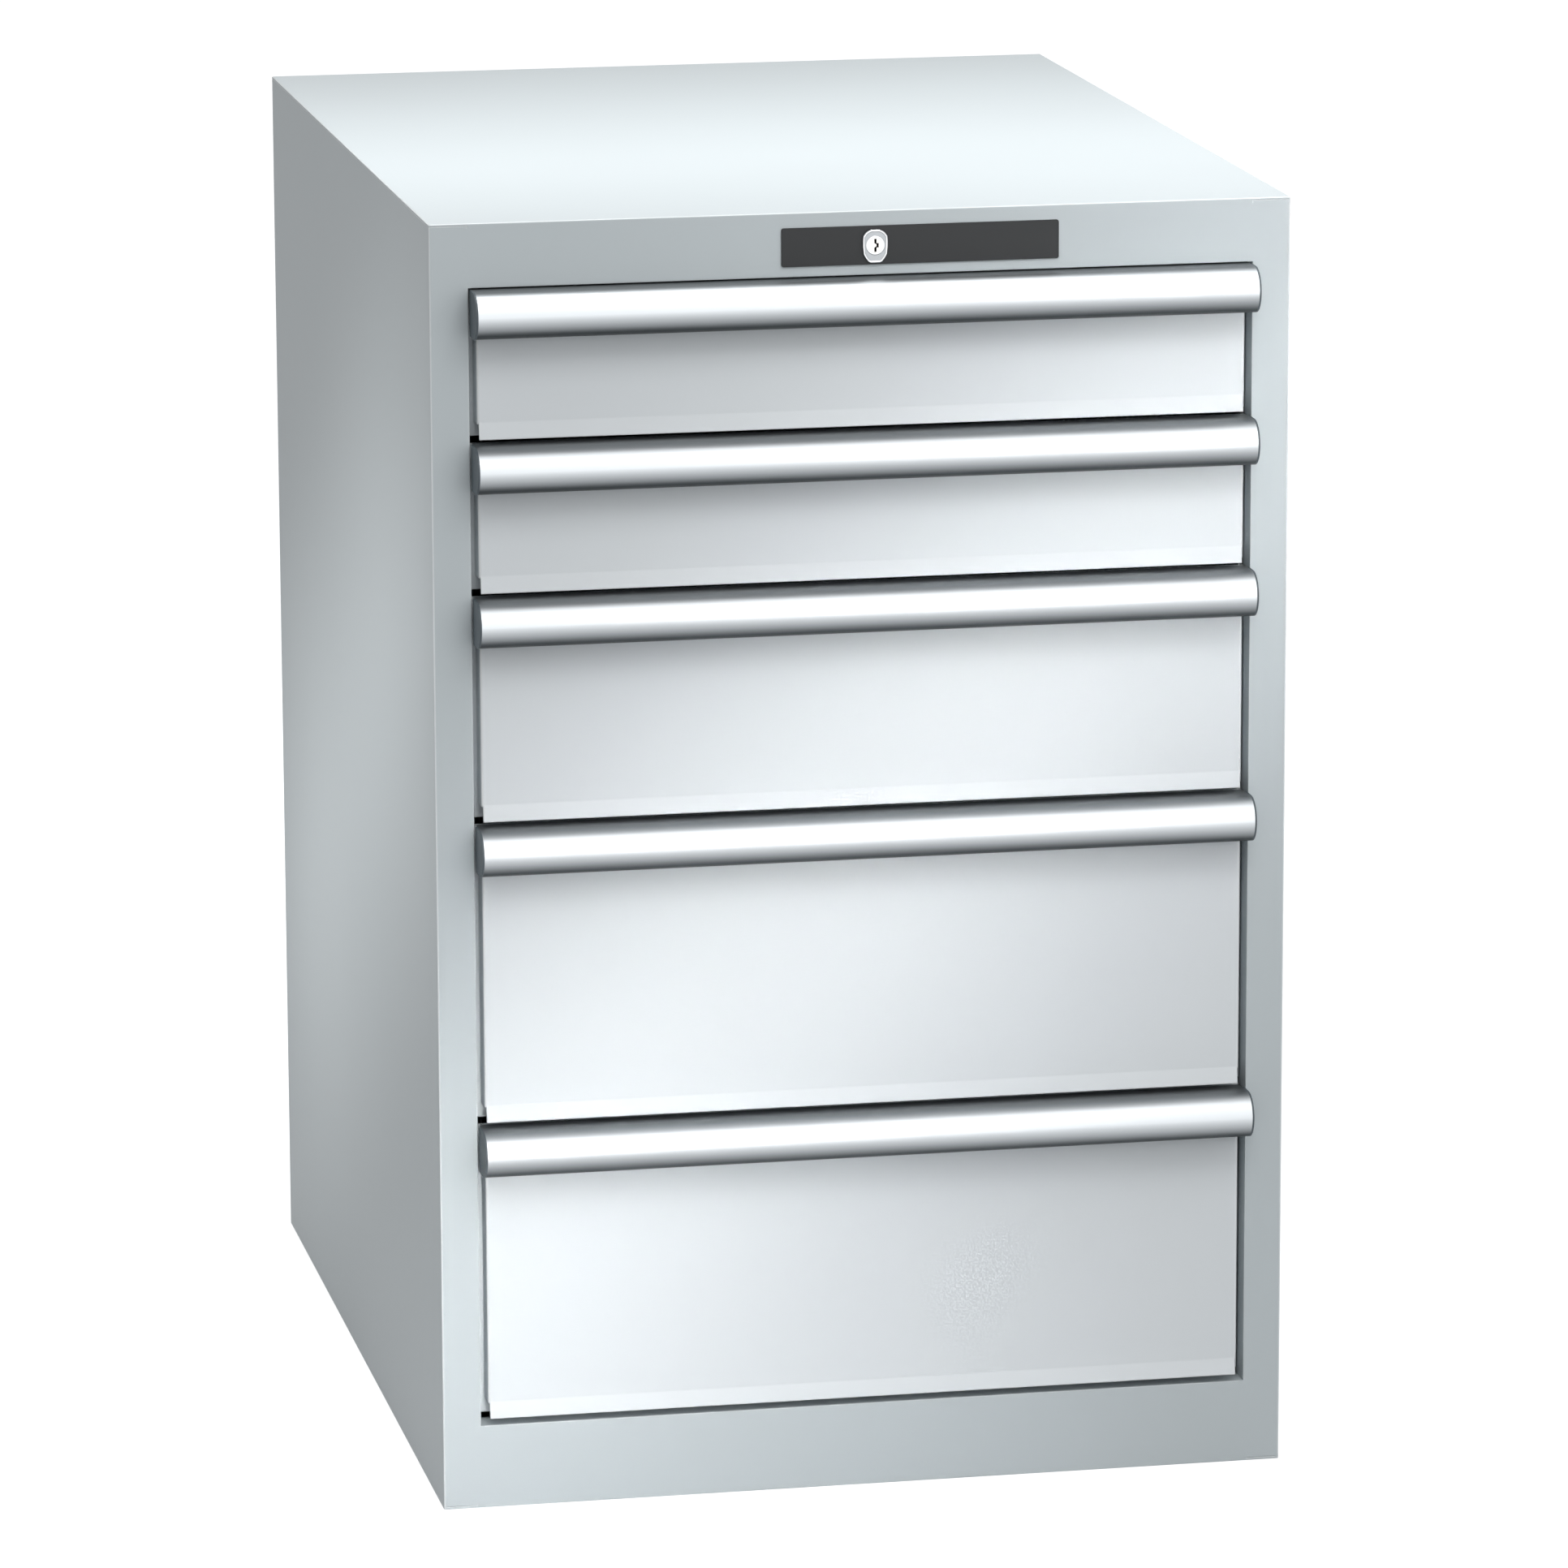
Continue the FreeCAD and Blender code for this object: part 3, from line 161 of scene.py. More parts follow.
cameraPlace = {
    "azimuth": -11.17,      # degrees, to the left of the front
    "elevation": 12.4,
    "roll": -0.2,
    "distance": 5.857,
    "aim": (0.0164, 0.0046, 0.3974),
    "lens": 194.3,          # mm on a 36 mm sensor
}


def makeCamera():
    azimuth, elevation = radians(cameraPlace["azimuth"]), radians(cameraPlace["elevation"])
    back = Vector((sin(azimuth) * cos(elevation), -cos(azimuth) * cos(elevation), sin(elevation)))
    data = bpy.data.cameras.new("camera")
    data.lens = cameraPlace["lens"]
    data.sensor_width = 36
    data.clip_end = 100
    camera = bpy.data.objects.new("camera", data)
    camera.rotation_mode = "QUATERNION"
    camera.location = Vector(cameraPlace["aim"]) + back * cameraPlace["distance"]
    roll = Quaternion((0, 0, 1), radians(cameraPlace["roll"]))
    camera.rotation_quaternion = (-back).to_track_quat("-Z", "Y") @ roll
    bpy.context.scene.collection.objects.link(camera)
    bpy.context.scene.camera = camera


makeCamera()
print("camera set")


# Studio: a pale tent, brightest overhead, and strips that lay one slanting sheen on each face

studio = {
    "floorSize": 30.0,
    "floorColour": "#9EA0A2",      # what the floor throws back at the cabinet
    "floorWhite": 0.85,            # added for the camera, so that the lit floor is white
    "overhead": 0.75,              # strength of the tent's roof, straight up
    "ahead": 0.12,                 # of its side before the drawers
    "rightHand": 0.50,
}

# place, aim, size in metres, roll and spread in degrees, power in watts
lamps = {
    "topBox": ((0.2, -0.1, 3.0), (0, 0, 0.4), (2.4, 2.0), 0, 180, 9.2),
    "frontHighBox": ((0.2, -2.0, 2.6), (0, -0.35, 0.4), (1.6, 0.8), 0, 180, 13.5),
    "frontBox": ((0.5, -2.4, 1.2), (0, -0.35, 0.4), (2.6, 2.4), 0, 180, 8.2),
    "frontLowBox": ((0.2, -2.6, 0.8), (0, -0.35, 0.5), (2.6, 1.5), 0, 180, 2.8),
    "frontStrip": ((0, -1.45, 1.5), (0, -0.35, 0.46), (0.12, 1.5), -40, 30, 0.25),
    "frontThinStrip": ((0, -1.45, 1.5), (0, -0.35, 0.46), (0.1, 1.5), -45, 20, 0.12),
    "frontLowStrip": ((0, -2.2, 0.8), (-0.02, -0.35, 0.42), (0.1, 1.3), -45, 20, 0.14),
    "frontShortStrip": ((0, -2.2, 0.8), (0.02, -0.35, 0.46), (0.1, 1.1), -48, 14, 0.22),
    "frontFootBox": ((-0.3, -2.2, 0.3), (-0.26, -0.35, 0.04), (0.7, 0.3), 0, 18, 0.2),
    "backBox": ((0, 2.6, 0.45), (0, 0.37, 0.42), (0.5, 0.6), 0, 90, 6.0),
    "sideStrip": ((-1.7, 0.02, 0.43), (-0.28, 0.02, 0.43), (0.1, 0.8), -60, 24, 0.28),
    "topStrip": ((0, 0, 2.4), (-0.1, -0.09, 0.85), (0.12, 1.2), -38, 40, 1.2),
}


def addSeen(tree):      # 1 for what the camera sees, straight, in a gloss or through glass
    path = addNode(tree, "ShaderNodeLightPath").outputs
    either = calculate(tree, "ADD", path["Is Camera Ray"], path["Is Glossy Ray"])
    return calculate(tree, "ADD", either, path["Is Transmission Ray"], clamp=True)


def makeTent():
    world = bpy.data.worlds.new("studioTent")
    bpy.context.scene.world = world
    world.use_nodes = True
    tree = world.node_tree
    tree.nodes.clear()
    towards = splitVector(tree, addNode(tree, "ShaderNodeTexCoord").outputs["Generated"])
    strength = 0.0
    for axis, reach, side in (("Z", 1, "overhead"), ("Y", -1, "ahead"), ("X", 1, "rightHand")):
        part = remap(tree, towards[axis], fromMax=reach, toMax=studio[side])
        strength = calculate(tree, "ADD", part, strength)
    tent = addNode(tree, "ShaderNodeBackground", {"Color": (1, 1, 1, 1), "Strength": strength})
    white = addNode(tree, "ShaderNodeBackground", {"Color": (1, 1, 1, 1), "Strength": 1.0})
    mixed = addNode(tree, "ShaderNodeMixShader", {
        0: addSeen(tree), 1: tent.outputs[0], 2: white.outputs[0]})
    addNode(tree, "ShaderNodeOutputWorld", {"Surface": mixed.outputs[0]})


def makeFloor():
    half = studio["floorSize"] / 2
    mesh = bpy.data.meshes.new("floor")
    corners = [(-half, -half, 0), (half, -half, 0), (half, half, 0), (-half, half, 0)]
    mesh.from_pydata(corners, [], [(0, 1, 2, 3)])
    floor = bpy.data.objects.new("floor", mesh)
    bpy.context.scene.collection.objects.link(floor)
    material = bpy.data.materials.new("studioFloor")
    material.use_nodes = True
    tree = material.node_tree
    tree.nodes.clear()
    matt = addNode(tree, "ShaderNodeBsdfDiffuse", {"Color": linear(studio["floorColour"])})
    glow = calculate(tree, "MULTIPLY", addSeen(tree), studio["floorWhite"])
    lit = addNode(tree, "ShaderNodeEmission", {"Strength": glow})
    both = addNode(tree, "ShaderNodeAddShader", {0: matt.outputs[0], 1: lit.outputs[0]})
    addNode(tree, "ShaderNodeOutputMaterial", {"Surface": both.outputs[0]})
    mesh.materials.append(material)


def hangLamps():
    for name, (place, aim, size, roll, spread, power) in lamps.items():
        data = bpy.data.lights.new(name, "AREA")
        data.shape = "RECTANGLE"
        data.size, data.size_y = size
        data.spread = radians(spread)
        data.energy = power
        lamp = bpy.data.objects.new(name, data)
        lamp.location = place
        facing = (Vector(aim) - Vector(place)).to_track_quat("-Z", "Y")
        lamp.rotation_euler = (facing @ Quaternion((0, 0, 1), radians(roll))).to_euler()
        lamp.visible_camera = False
        bpy.context.scene.collection.objects.link(lamp)


bpy.context.scene.view_settings.view_transform = "Standard"
makeTent()
makeFloor()
hangLamps()
print("studio lit")


# Finishes

paint = {
    "peel": 2.2 * mm,           # grain of the orange peel
    "peelDepth": 0.05 * mm,
    "peelStrength": 0.12,
    "patch": 260 * mm,          # patches in which the tone drifts
    "tones": (0.98, 1.01),
    "glossDrift": 0.04,
    "specular": 0.3,            # the matting powder dulls the gloss
    "edge": 1.2 * mm,           # rounding of the bent edges
    "edgeHighlightSpan": (0.995, 0.86),  # rounded normal along the sheet's: the painted highlight starts, and is full
    "bendHighlightSpan": (0.99, 0.85),   # largest part of the normal: the painted highlight on bends starts, and is full
}

seams = {       # ground and painted welds between the posts and the front rails
    "middle": 432 * mm,         # height from which the rails are measured
    "rail": 376.3 * mm,         # to the inner edges of the rails
    "top": 414.5 * mm,          # to the bend of the top edge
    "across": 257 * mm,         # middle of the cabinet to the weld
    "halfWidth": 2.5 * mm,
    "face": -346 * mm,          # only before this depth
}


def addEdgesAndHighlight(tree, radius):     # rounded edges for the light, and a painted highlight mask: 1 near an edge or on a bend
    rounded = roundEdges(tree, radius)
    surface = addNode(tree, "ShaderNodeNewGeometry").outputs
    alike = addNode(tree, "ShaderNodeVectorMath", {
        0: rounded, 1: surface["True Normal"]}, operation="DOT_PRODUCT")
    paintedHighlight = remap(tree, alike.outputs["Value"], *paint["edgeHighlightSpan"])
    facing = addNode(tree, "ShaderNodeVectorMath", {0: surface["Normal"]}, operation="ABSOLUTE")
    parts = splitVector(tree, facing.outputs[0])
    largest = calculate(tree, "MAXIMUM", parts["X"], parts["Y"])
    largest = calculate(tree, "MAXIMUM", largest, parts["Z"])
    # painted highlight on the bends, where the normal lies between the axes
    bent = remap(tree, largest, *paint["bendHighlightSpan"])
    return rounded, calculate(tree, "MAXIMUM", paintedHighlight, bent)


def addSeams(tree, place):      # 1 on the welds, else 0
    fromMiddle = addNode(tree, "ShaderNodeVectorMath", {
        0: place, 1: (0, 0, seams["middle"])}, operation="SUBTRACT")
    parts = splitVector(tree, fromMiddle.outputs[0])
    across = calculate(tree, "ABSOLUTE", parts["X"])
    upward = calculate(tree, "ABSOLUTE", parts["Z"])
    seam = calculate(tree, "COMPARE", across, seams["across"], seams["halfWidth"])
    conditions = (
        calculate(tree, "GREATER_THAN", upward, seams["rail"]),
        calculate(tree, "LESS_THAN", parts["Z"], seams["top"]),
        calculate(tree, "LESS_THAN", parts["Y"], seams["face"]),
    )
    for condition in conditions:
        seam = calculate(tree, "MULTIPLY", seam, condition)
    return seam


def powderCoat(name, hexColour, highlightColour, roughness):
    # polyester powder coat, sprayed and baked on sheet steel: satin, with a fine orange peel,
    # a tone that drifts a little over each sheet, and a paler colour on the bent edges, a painted highlight
    material, tree, shader, place = newMaterial(name)
    peel = addNoise(tree, place, paint["peel"], 1.0)
    cloud = addNoise(tree, place, paint["patch"], 2.0)
    tone = remap(tree, cloud, *noiseSpan, *paint["tones"])
    colour = mixColours(tree, 1.0, linear(hexColour), tone, "MULTIPLY")
    rounded, paintedHighlight = addEdgesAndHighlight(tree, paint["edge"])
    seam = addSeams(tree, place)
    paintedHighlight = calculate(tree, "SUBTRACT", paintedHighlight, seam, clamp=True)
    plain = addNode(tree, "ShaderNodeNewGeometry").outputs["Normal"]
    rounded = addNode(tree, "ShaderNodeMix", {
        "Factor": seam, 4: rounded, 5: plain}, data_type="VECTOR").outputs[1]
    drift = paint["glossDrift"]
    shader.inputs["Specular IOR Level"].default_value = paint["specular"]
    # base colour: paler on the edges and bends, a painted highlight
    linkShader(
        tree, shader,
        Base_Color=mixColours(tree, paintedHighlight, colour, linear(highlightColour)),
        Roughness=remap(tree, cloud, toMin=roughness - drift, toMax=roughness + drift),
        Normal=addBump(tree, paint["peelStrength"], paint["peelDepth"], peel, rounded))
    return material


aluminium = {
    "line": (0.4, 0.5 * mm, 0.5 * mm),  # size of the die lines
    "lineDepth": 0.02 * mm,
    "lineStrength": 0.05,
    "roughness": (0.44, 0.48),
    "under": (0.05, -0.8),              # upward part of the normal: the painted shade starts, and is full
    "above": (0.72, 1.0),
    "aboveShare": 0.75,
}


def extrudedAluminium(name, hexColour, shadeColour):
    # anodised 6063 extrusion: satin metal with die lines along its length; its colour goes darker
    # towards the upper and lower edges as the normal turns up or down, a painted shade
    material, tree, shader, place = newMaterial(name)
    drawn = addNode(tree, "ShaderNodeMapping", {
        "Vector": place, "Scale": tuple(1 / size for size in aluminium["line"])})
    lines = addNoise(tree, drawn.outputs[0], 1.0, 2.0)
    facing = splitVector(tree, addNode(tree, "ShaderNodeNewGeometry").outputs["Normal"])
    # painted shade: the grip's colour goes darker where its surface faces down or up
    under = remap(tree, facing["Z"], *aluminium["under"])
    above = remap(tree, facing["Z"], *aluminium["above"], toMax=aluminium["aboveShare"])
    paintedShade = calculate(tree, "MAXIMUM", under, above)
    shader.inputs["Metallic"].default_value = 1.0
    linkShader(
        tree, shader,
        Base_Color=mixColours(tree, paintedShade, linear(hexColour), linear(shadeColour)),
        Roughness=remap(tree, lines, *noiseSpan, *aluminium["roughness"]),
        Normal=addBump(tree, aluminium["lineStrength"], aluminium["lineDepth"], lines))
    return material


plastic = {"grain": 0.9 * mm, "grainDepth": 0.04 * mm, "grainStrength": 0.3, "edge": 0.5 * mm}


def mouldedPlastic(name, hexColour, roughness):
    # injection moulded polyamide with a fine spark eroded grain: matt, dark
    material, tree, shader, place = newMaterial(name)
    grain = addNoise(tree, place, plastic["grain"], 2.0)
    shader.inputs["Base Color"].default_value = linear(hexColour)
    shader.inputs["Roughness"].default_value = roughness
    rounded = roundEdges(tree, plastic["edge"])
    bump = addBump(tree, plastic["grainStrength"], plastic["grainDepth"], grain, rounded)
    linkShader(tree, shader, Normal=bump)
    return material


plating = {
    "tones": (0.88, 1.04),
    "glossDrift": 0.06,
    "edge": 0.4 * mm,
    "sunk": 0.2 * mm,           # behind the lock's face, from where the painted shade colour is used
}


def platedMetal(name, hexColour, roughness, blotch, recessShadeColour=None):
    # plated metal; the plating's tone drifts in patches of the given size in mm, and what lies
    # behind the face of the lock can be darkened to a colour of its own, a painted shade in the recess
    material, tree, shader, place = newMaterial(name)
    patches = addNoise(tree, place, blotch * mm, 3.0)
    tone = remap(tree, patches, *noiseSpan, *plating["tones"])
    colour = mixColours(tree, 1.0, linear(hexColour), tone, "MULTIPLY")
    if recessShadeColour:
        # painted shade: darker behind the lock's face
        depth = splitVector(tree, place)["Y"]
        sunk = calculate(tree, "GREATER_THAN", depth, lockFace + plating["sunk"])
        colour = mixColours(tree, sunk, colour, linear(recessShadeColour))
    drift = plating["glossDrift"]
    shader.inputs["Metallic"].default_value = 1.0
    linkShader(
        tree, shader,
        Base_Color=colour,
        Roughness=remap(tree, patches, toMin=roughness - drift, toMax=roughness + drift),
        Normal=roundEdges(tree, plating["edge"]))
    return material


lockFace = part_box("lock_escutcheon")[0][1]
# second colours: painted highlight on the bent edges
housingPaint = powderCoat("housingPaint", "#C8D0D3", "#F0F5F7", 0.5)
frontPaint = powderCoat("frontPaint", "#E4E9EC", "#F4F7F8", 0.48)
drawerPaint = powderCoat("drawerPaint", "#C6CDD0", "#DDE3E5", 0.5)
# second colour: painted shade on the handle's upper and lower edges
handleAluminium = extrudedAluminium("handleAluminium", "#D0D4D7", "#45494B")
capPlastic = mouldedPlastic("capPlastic", "#4A5359", 0.5)
lockPlatePlastic = mouldedPlastic("lockPlatePlastic", "#1C1E20", 0.55)
escutcheonZinc = platedMetal("escutcheonZinc", "#E2E3E4", 0.3, 30, "#A2A5A8")    # painted shade on the sunk ground
lockNickel = platedMetal("lockNickel", "#E6E4E0", 0.3, 20, "#08080A")       # painted shade in the keyway
zincSteel = platedMetal("zincSteel", "#B4BABE", 0.36, 18)
rollerSteel = platedMetal("rollerSteel", "#8E9092", 0.3, 6)

dress(housingPaint, "right_side_wall", "left_side_wall", "top_panel", "base_pan", "back_wall")
dress(zincSteel, "slide_uprights", "cabinet_rails")
dress(zincSteel, "lock_crank", "lock_transfer_bar", "lock_rod", "lock_guides")
dress(lockPlatePlastic, "lock_cover_plate")
dress(escutcheonZinc, "lock_escutcheon")
dress(lockNickel, "lock_cylinder_case", "lock_plug")
for drawer in drawers:
    dress(frontPaint, f"{drawer}_front")
    dress(drawerPaint, f"{drawer}_box")
    dress(handleAluminium, f"{drawer}_handle")
    dress(capPlastic, f"{drawer}_handle_caps")
    dress(zincSteel, f"{drawer}_rails", f"{drawer}_carriages", f"{drawer}_catch")
    dress(rollerSteel, f"{drawer}_front_rollers", f"{drawer}_middle_rollers")
print("finishes on")


# Drawer boxes, with the slots that take the dividers

tray = {
    "pitch": 17 * mm,           # grid of the dividers
    "slotWidth": 2.6 * mm,
    "slotFoot": 15 * mm,        # floor to the slots
    "slotHead": 9 * mm,         # slots to the wall's top
    "plainEnd": 14 * mm,        # wall without slots at each corner
    "sheet": 1 * mm,
    "frontRise": 10.2 * mm,     # front wall above the other walls
    "bead": 1.2 * mm,           # radius of the rolled top edge
    "beadSides": 10,
    "weld": 0.01 * mm,          # points nearer than this are one
}


def newGeometryTree(name, sizes):
    tree = bpy.data.node_groups.new(name, "GeometryNodeTree")
    for size in sizes:
        tree.interface.new_socket(size, in_out="INPUT", socket_type="NodeSocketFloat")
    tree.interface.new_socket("Mesh", in_out="OUTPUT", socket_type="NodeSocketGeometry")
    inputs = addNode(tree, "NodeGroupInput")
    return tree, {size: inputs.outputs[size] for size in sizes}


def joinMeshes(tree, meshes):
    join = addNode(tree, "GeometryNodeJoinGeometry")
    for mesh in meshes:
        tree.links.new(mesh, join.inputs[0])
    return join.outputs[0]


def makeWallTree():     # one sheet wall standing on X, its outer face towards -Y
    tree, size = newGeometryTree("slottedWall", [
        "Length", "Height", "Pitch", "Slot Width", "Slot Foot", "Slot Head", "Plain End", "Sheet"])
    slotted = calculate(tree, "SUBTRACT", size["Length"], calculate(tree, "MULTIPLY", size["Plain End"], 2.0))
    count = calculate(tree, "FLOOR", calculate(tree, "DIVIDE", slotted, size["Pitch"]))
    spans = calculate(tree, "ADD", calculate(tree, "MULTIPLY", count, 2.0), 1.0)
    grid = addNode(tree, "GeometryNodeMeshGrid", {
        "Size X": spans, "Size Y": 3.0,
        "Vertices X": calculate(tree, "ADD", spans, 1.0), "Vertices Y": 4})
    place = splitVector(tree, addNode(tree, "GeometryNodeInputPosition").outputs[0])
    column = calculate(tree, "ADD", place["X"], calculate(tree, "DIVIDE", spans, 2.0))
    row = calculate(tree, "ADD", place["Y"], 1.5)
    isOddColumn = calculate(tree, "MODULO", calculate(tree, "FLOOR", column), 2.0)
    inMiddleRow = calculate(tree, "COMPARE", calculate(tree, "FLOOR", row), 1.0)
    pierced = addNode(tree, "GeometryNodeDeleteGeometry", {
        "Geometry": grid.outputs["Mesh"],
        "Selection": calculate(tree, "MULTIPLY", isOddColumn, inMiddleRow)}, domain="FACE")

    edge = calculate(tree, "SUBTRACT", calculate(tree, "ROUND", column), 1.0)
    slot = calculate(tree, "FLOOR", calculate(tree, "DIVIDE", edge, 2.0))
    isRight = calculate(tree, "SUBTRACT", edge, calculate(tree, "MULTIPLY", slot, 2.0))
    side = calculate(tree, "SUBTRACT", isRight, 0.5)
    halfCount = calculate(tree, "DIVIDE", calculate(tree, "SUBTRACT", count, 1.0), 2.0)
    middle = calculate(tree, "SUBTRACT", slot, halfCount)
    along = calculate(tree, "ADD", calculate(tree, "MULTIPLY", middle, size["Pitch"]),
                      calculate(tree, "MULTIPLY", side, size["Slot Width"]))
    half = calculate(tree, "DIVIDE", size["Length"], 2.0)
    isStart = calculate(tree, "LESS_THAN", column, 0.5)
    isEnd = calculate(tree, "GREATER_THAN", column, calculate(tree, "SUBTRACT", spans, 0.5))
    start = calculate(tree, "MULTIPLY", half, -1.0)
    for isThere, end in ((isStart, start), (isEnd, half)):
        along = addNode(tree, "ShaderNodeMix", {
            "Factor": isThere, "A": along, "B": end}, data_type="FLOAT").outputs[0]
    slotTop = calculate(tree, "SUBTRACT", size["Height"], size["Slot Head"])
    steps = (
        (0.5, size["Slot Foot"]),
        (1.5, calculate(tree, "SUBTRACT", slotTop, size["Slot Foot"])),
        (2.5, size["Slot Head"]),
    )
    level = 0.0
    for after, rise in steps:
        reached = calculate(tree, "GREATER_THAN", row, after)
        level = calculate(tree, "ADD", calculate(tree, "MULTIPLY", reached, rise), level)
    spread = addNode(tree, "GeometryNodeSetPosition", {
        "Geometry": pierced.outputs[0],
        "Position": joinVector(tree, X=along, Z=level)})
    outer = addNode(tree, "GeometryNodeExtrudeMesh", {
        "Mesh": spread.outputs[0], "Offset Scale": size["Sheet"], "Individual": False}, mode="FACES")
    inner = addNode(tree, "GeometryNodeFlipFaces", {"Mesh": spread.outputs[0]})
    closed = addNode(tree, "GeometryNodeMergeByDistance", {
        "Geometry": joinMeshes(tree, [outer.outputs["Mesh"], inner.outputs["Mesh"]]),
        "Distance": tray["weld"]})
    addNode(tree, "NodeGroupOutput", {"Mesh": closed.outputs[0]})
    return tree


def makeTrayTree(material):
    wallSizes = ["Pitch", "Slot Width", "Slot Foot", "Slot Head", "Plain End", "Sheet"]
    tree, size = newGeometryTree("slottedTray", [
        "Width", "Depth", "Front", "Level", "Wall Height", "Front Height", "Bead", *wallSizes])
    wallTree = makeWallTree()
    back = calculate(tree, "ADD", size["Front"], size["Depth"])
    foot = calculate(tree, "ADD", size["Level"], size["Sheet"])
    insideFront = calculate(tree, "ADD", size["Front"], size["Sheet"])
    insideBack = calculate(tree, "SUBTRACT", back, size["Sheet"])
    right = calculate(tree, "DIVIDE", size["Width"], 2.0)
    insideRight = calculate(tree, "SUBTRACT", right, size["Sheet"])
    insideLeft = calculate(tree, "MULTIPLY", insideRight, -1.0)
    sideLength = calculate(tree, "SUBTRACT", size["Depth"], size["Sheet"])
    sideMiddle = calculate(tree, "DIVIDE", calculate(tree, "ADD", insideFront, back), 2.0)
    backLength = calculate(tree, "MULTIPLY", insideRight, 2.0)
    walls = (       # length, height, middle along X and Y, turn
        (size["Width"], size["Front Height"], 0.0, insideFront, 0),
        (backLength, size["Wall Height"], 0.0, insideBack, pi),
        (sideLength, size["Wall Height"], insideRight, sideMiddle, pi / 2),
        (sideLength, size["Wall Height"], insideLeft, sideMiddle, -pi / 2),
    )
    meshes = []
    for length, height, x, y, turn in walls:
        wall = addNode(tree, "GeometryNodeGroup", node_tree=wallTree)
        values = {"Length": length, "Height": height, **{name: size[name] for name in wallSizes}}
        for name, value in values.items():
            tree.links.new(value, wall.inputs[name])
        placed = addNode(tree, "GeometryNodeTransform", {
            "Geometry": wall.outputs[0], "Rotation": (0, 0, turn),
            "Translation": joinVector(tree, X=x, Y=y, Z=foot)})
        meshes.append(placed.outputs[0])

    middle = calculate(tree, "DIVIDE", calculate(tree, "ADD", size["Front"], back), 2.0)
    sheet = addNode(tree, "GeometryNodeMeshCube", {
        "Size": joinVector(tree, X=size["Width"], Y=size["Depth"], Z=size["Sheet"]),
        "Vertices X": 2, "Vertices Y": 2, "Vertices Z": 2})
    sheetLevel = calculate(tree, "ADD", size["Level"], calculate(tree, "DIVIDE", size["Sheet"], 2.0))
    placed = addNode(tree, "GeometryNodeTransform", {
        "Geometry": sheet.outputs["Mesh"],
        "Translation": joinVector(tree, Y=middle, Z=sheetLevel)})
    meshes.append(placed.outputs[0])

    beadWidth = calculate(tree, "MULTIPLY", size["Bead"], 2.0)
    rim = addNode(tree, "GeometryNodeCurvePrimitiveQuadrilateral", {
        "Width": calculate(tree, "SUBTRACT", size["Width"], beadWidth),
        "Height": calculate(tree, "SUBTRACT", size["Depth"], beadWidth)})
    ring = addNode(tree, "GeometryNodeCurvePrimitiveCircle", {
        "Resolution": tray["beadSides"], "Radius": size["Bead"]})
    bead = addNode(tree, "GeometryNodeCurveToMesh", {
        "Curve": rim.outputs[0], "Profile Curve": ring.outputs[0]})
    beadLevel = calculate(tree, "SUBTRACT", calculate(tree, "ADD", foot, size["Wall Height"]), size["Bead"])
    placed = addNode(tree, "GeometryNodeTransform", {
        "Geometry": bead.outputs[0],
        "Translation": joinVector(tree, Y=middle, Z=beadLevel)})
    meshes.append(placed.outputs[0])

    real = addNode(tree, "GeometryNodeRealizeInstances", {"Geometry": joinMeshes(tree, meshes)})
    painted = addNode(tree, "GeometryNodeSetMaterial", {"Geometry": real.outputs[0], "Material": material})
    addNode(tree, "NodeGroupOutput", {"Mesh": painted.outputs[0]})
    return tree


def meshFromTree(name, tree, values):       # the tree's result as a plain mesh object
    holder = bpy.data.objects.new(name, bpy.data.meshes.new(f"{name}_seed"))
    bpy.context.scene.collection.objects.link(holder)
    modifier = holder.modifiers.new("tree", "NODES")
    modifier.node_group = tree
    for item in tree.interface.items_tree:
        if item.in_out == "INPUT":
            modifier[item.identifier] = values[item.name]
    seen = holder.evaluated_get(bpy.context.evaluated_depsgraph_get())
    mesh = bpy.data.meshes.new_from_object(seen)
    holder.modifiers.remove(modifier)
    holder.data = mesh
    mesh.name = name
    return holder


trayTree = makeTrayTree(drawerPaint)
for drawer in drawers:
    low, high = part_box(f"{drawer}_box")
    wallTop = high[2] - tray["frontRise"]
    foot = low[2] + tray["sheet"]
    piece = meshFromTree(f"{drawer}_slotted_box", trayTree, {
        "Width": high[0] - low[0], "Depth": high[1] - low[1], "Front": low[1], "Level": low[2],
        "Wall Height": wallTop - foot, "Front Height": high[2] - foot, "Bead": tray["bead"],
        "Pitch": tray["pitch"], "Slot Width": tray["slotWidth"], "Slot Foot": tray["slotFoot"],
        "Slot Head": tray["slotHead"], "Plain End": tray["plainEnd"], "Sheet": tray["sheet"]})
    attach(piece, drawer)
    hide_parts(f"{drawer}_box")
    print(piece.name, len(piece.data.polygons), "faces")


# Escutcheon: a die cast shield with a raised rim and a collar round the plug

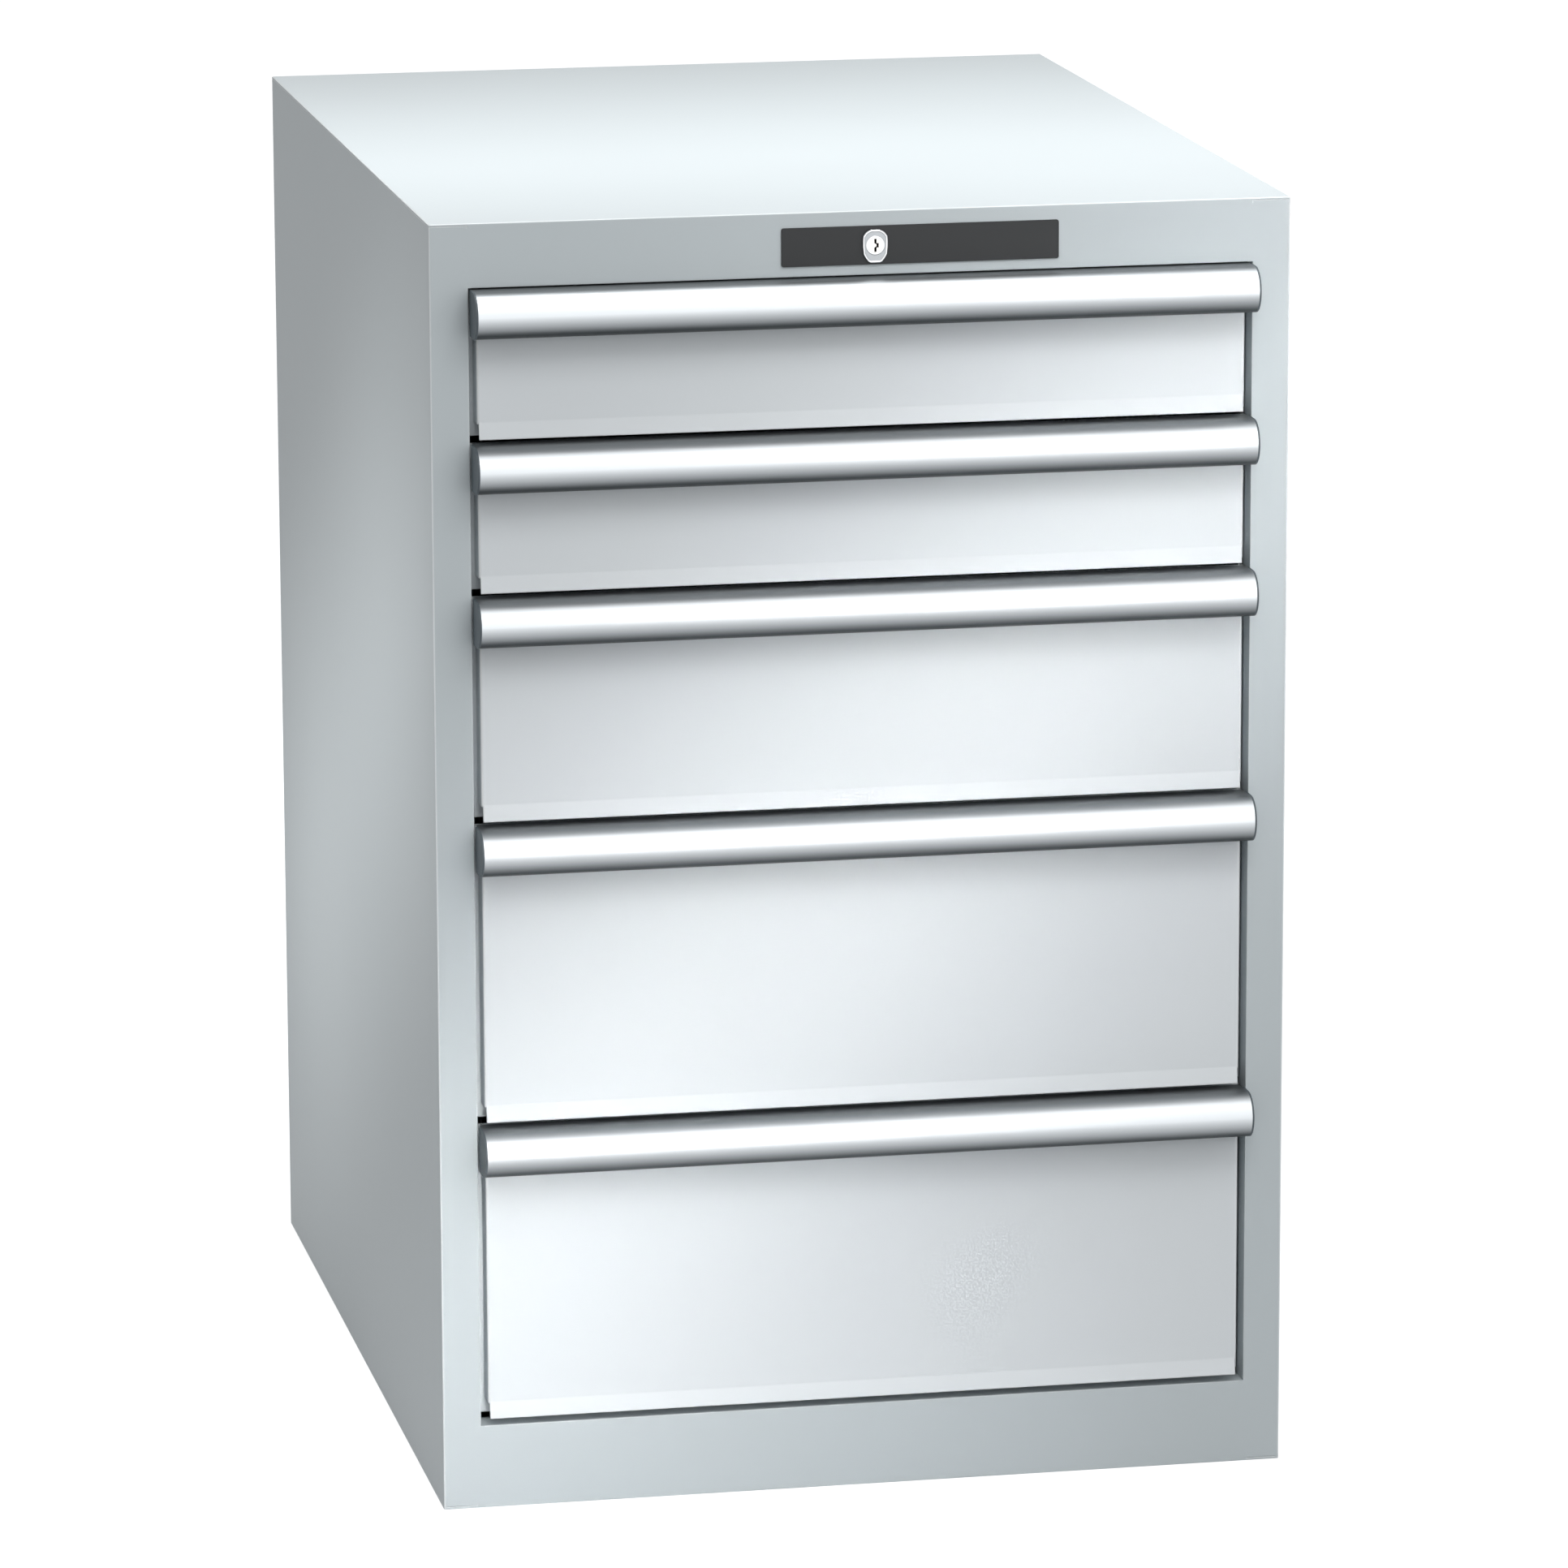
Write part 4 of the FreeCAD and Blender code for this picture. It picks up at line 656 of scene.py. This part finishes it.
shield = {
    "outline": (        # right half in mm round the lock's centre, from the top down
        (0, 10.2), (2.9, 10.2), (6.0, 8.7), (8.0, 6.0), (8.25, 3.0), (8.25, -1.0), (7.7, -6.0),
        (6.2, -8.6), (3.9, -11.3), (0, -11.3)),
    "bore": 5.05,
    "plugFace": 5.9,            # radius of the collar's outer edge on the face
    "collar": 6.3,              # and on the ground
    "edge": (0.4, 0.5),         # bevel of the rim, inward and in depth
    "rim": (1.1, 1.5),          # outline to the rim's inner edge, on the face and on the ground
    "sunk": 0.35,               # face to ground
    "sheet": 2.0,
    "steps": 48,
}


def reachOfShield(angle):       # from the lock's centre to the shield's outline
    right = shield["outline"]
    corners = [*right, *((-x, z) for x, z in right[-2:0:-1])]
    towards = Vector((cos(angle), sin(angle)))
    for start, end in zip(corners, corners[1:] + corners[:1]):
        start, side = Vector(start), Vector(end) - Vector(start)
        across = towards.x * side.y - towards.y * side.x
        if abs(across) < 1e-9:
            continue
        along = (start.x * side.y - start.y * side.x) / across
        share = (start.x * towards.y - start.y * towards.x) / across
        if along > 0 and -1e-6 <= share <= 1 + 1e-6:
            return along


def makeShield():
    low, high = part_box("lock_escutcheon")
    centreX, centreZ = (low[0] + high[0]) / 2, high[2] - shield["outline"][0][1] * mm
    steps, bore = shield["steps"], shield["bore"]
    inward, deep = shield["edge"]
    onFace, onGround = shield["rim"]
    sheet, sunk = shield["sheet"], shield["sunk"]
    rings = (           # radius at an outline that reaches r, and depth behind the face
        (lambda r: bore, sheet), (lambda r: r, sheet), (lambda r: r, deep), (lambda r: r - inward, 0),
        (lambda r: r - onFace, 0), (lambda r: r - onGround, sunk), (lambda r: shield["collar"], sunk),
        (lambda r: shield["plugFace"], 0), (lambda r: bore, 0))
    points, faces = [], []
    for radius, depth in rings:
        for step in range(steps):
            angle = 2 * pi * step / steps
            r = radius(reachOfShield(angle)) * mm
            points.append((centreX + r * cos(angle), low[1] + depth * mm, centreZ + r * sin(angle)))
    for ring in range(len(rings)):
        here, there = ring * steps, (ring + 1) % len(rings) * steps
        for step in range(steps):
            after = (step + 1) % steps
            faces.append((here + step, here + after, there + after, there + step))
    mesh = bpy.data.meshes.new("lock_shield")
    mesh.from_pydata(points, [], faces)
    mesh.materials.append(escutcheonZinc)
    piece = bpy.data.objects.new("lock_shield", mesh)
    bpy.context.scene.collection.objects.link(piece)
    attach(piece, "housing")
    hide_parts("lock_escutcheon")


makeShield()
print("escutcheon made")
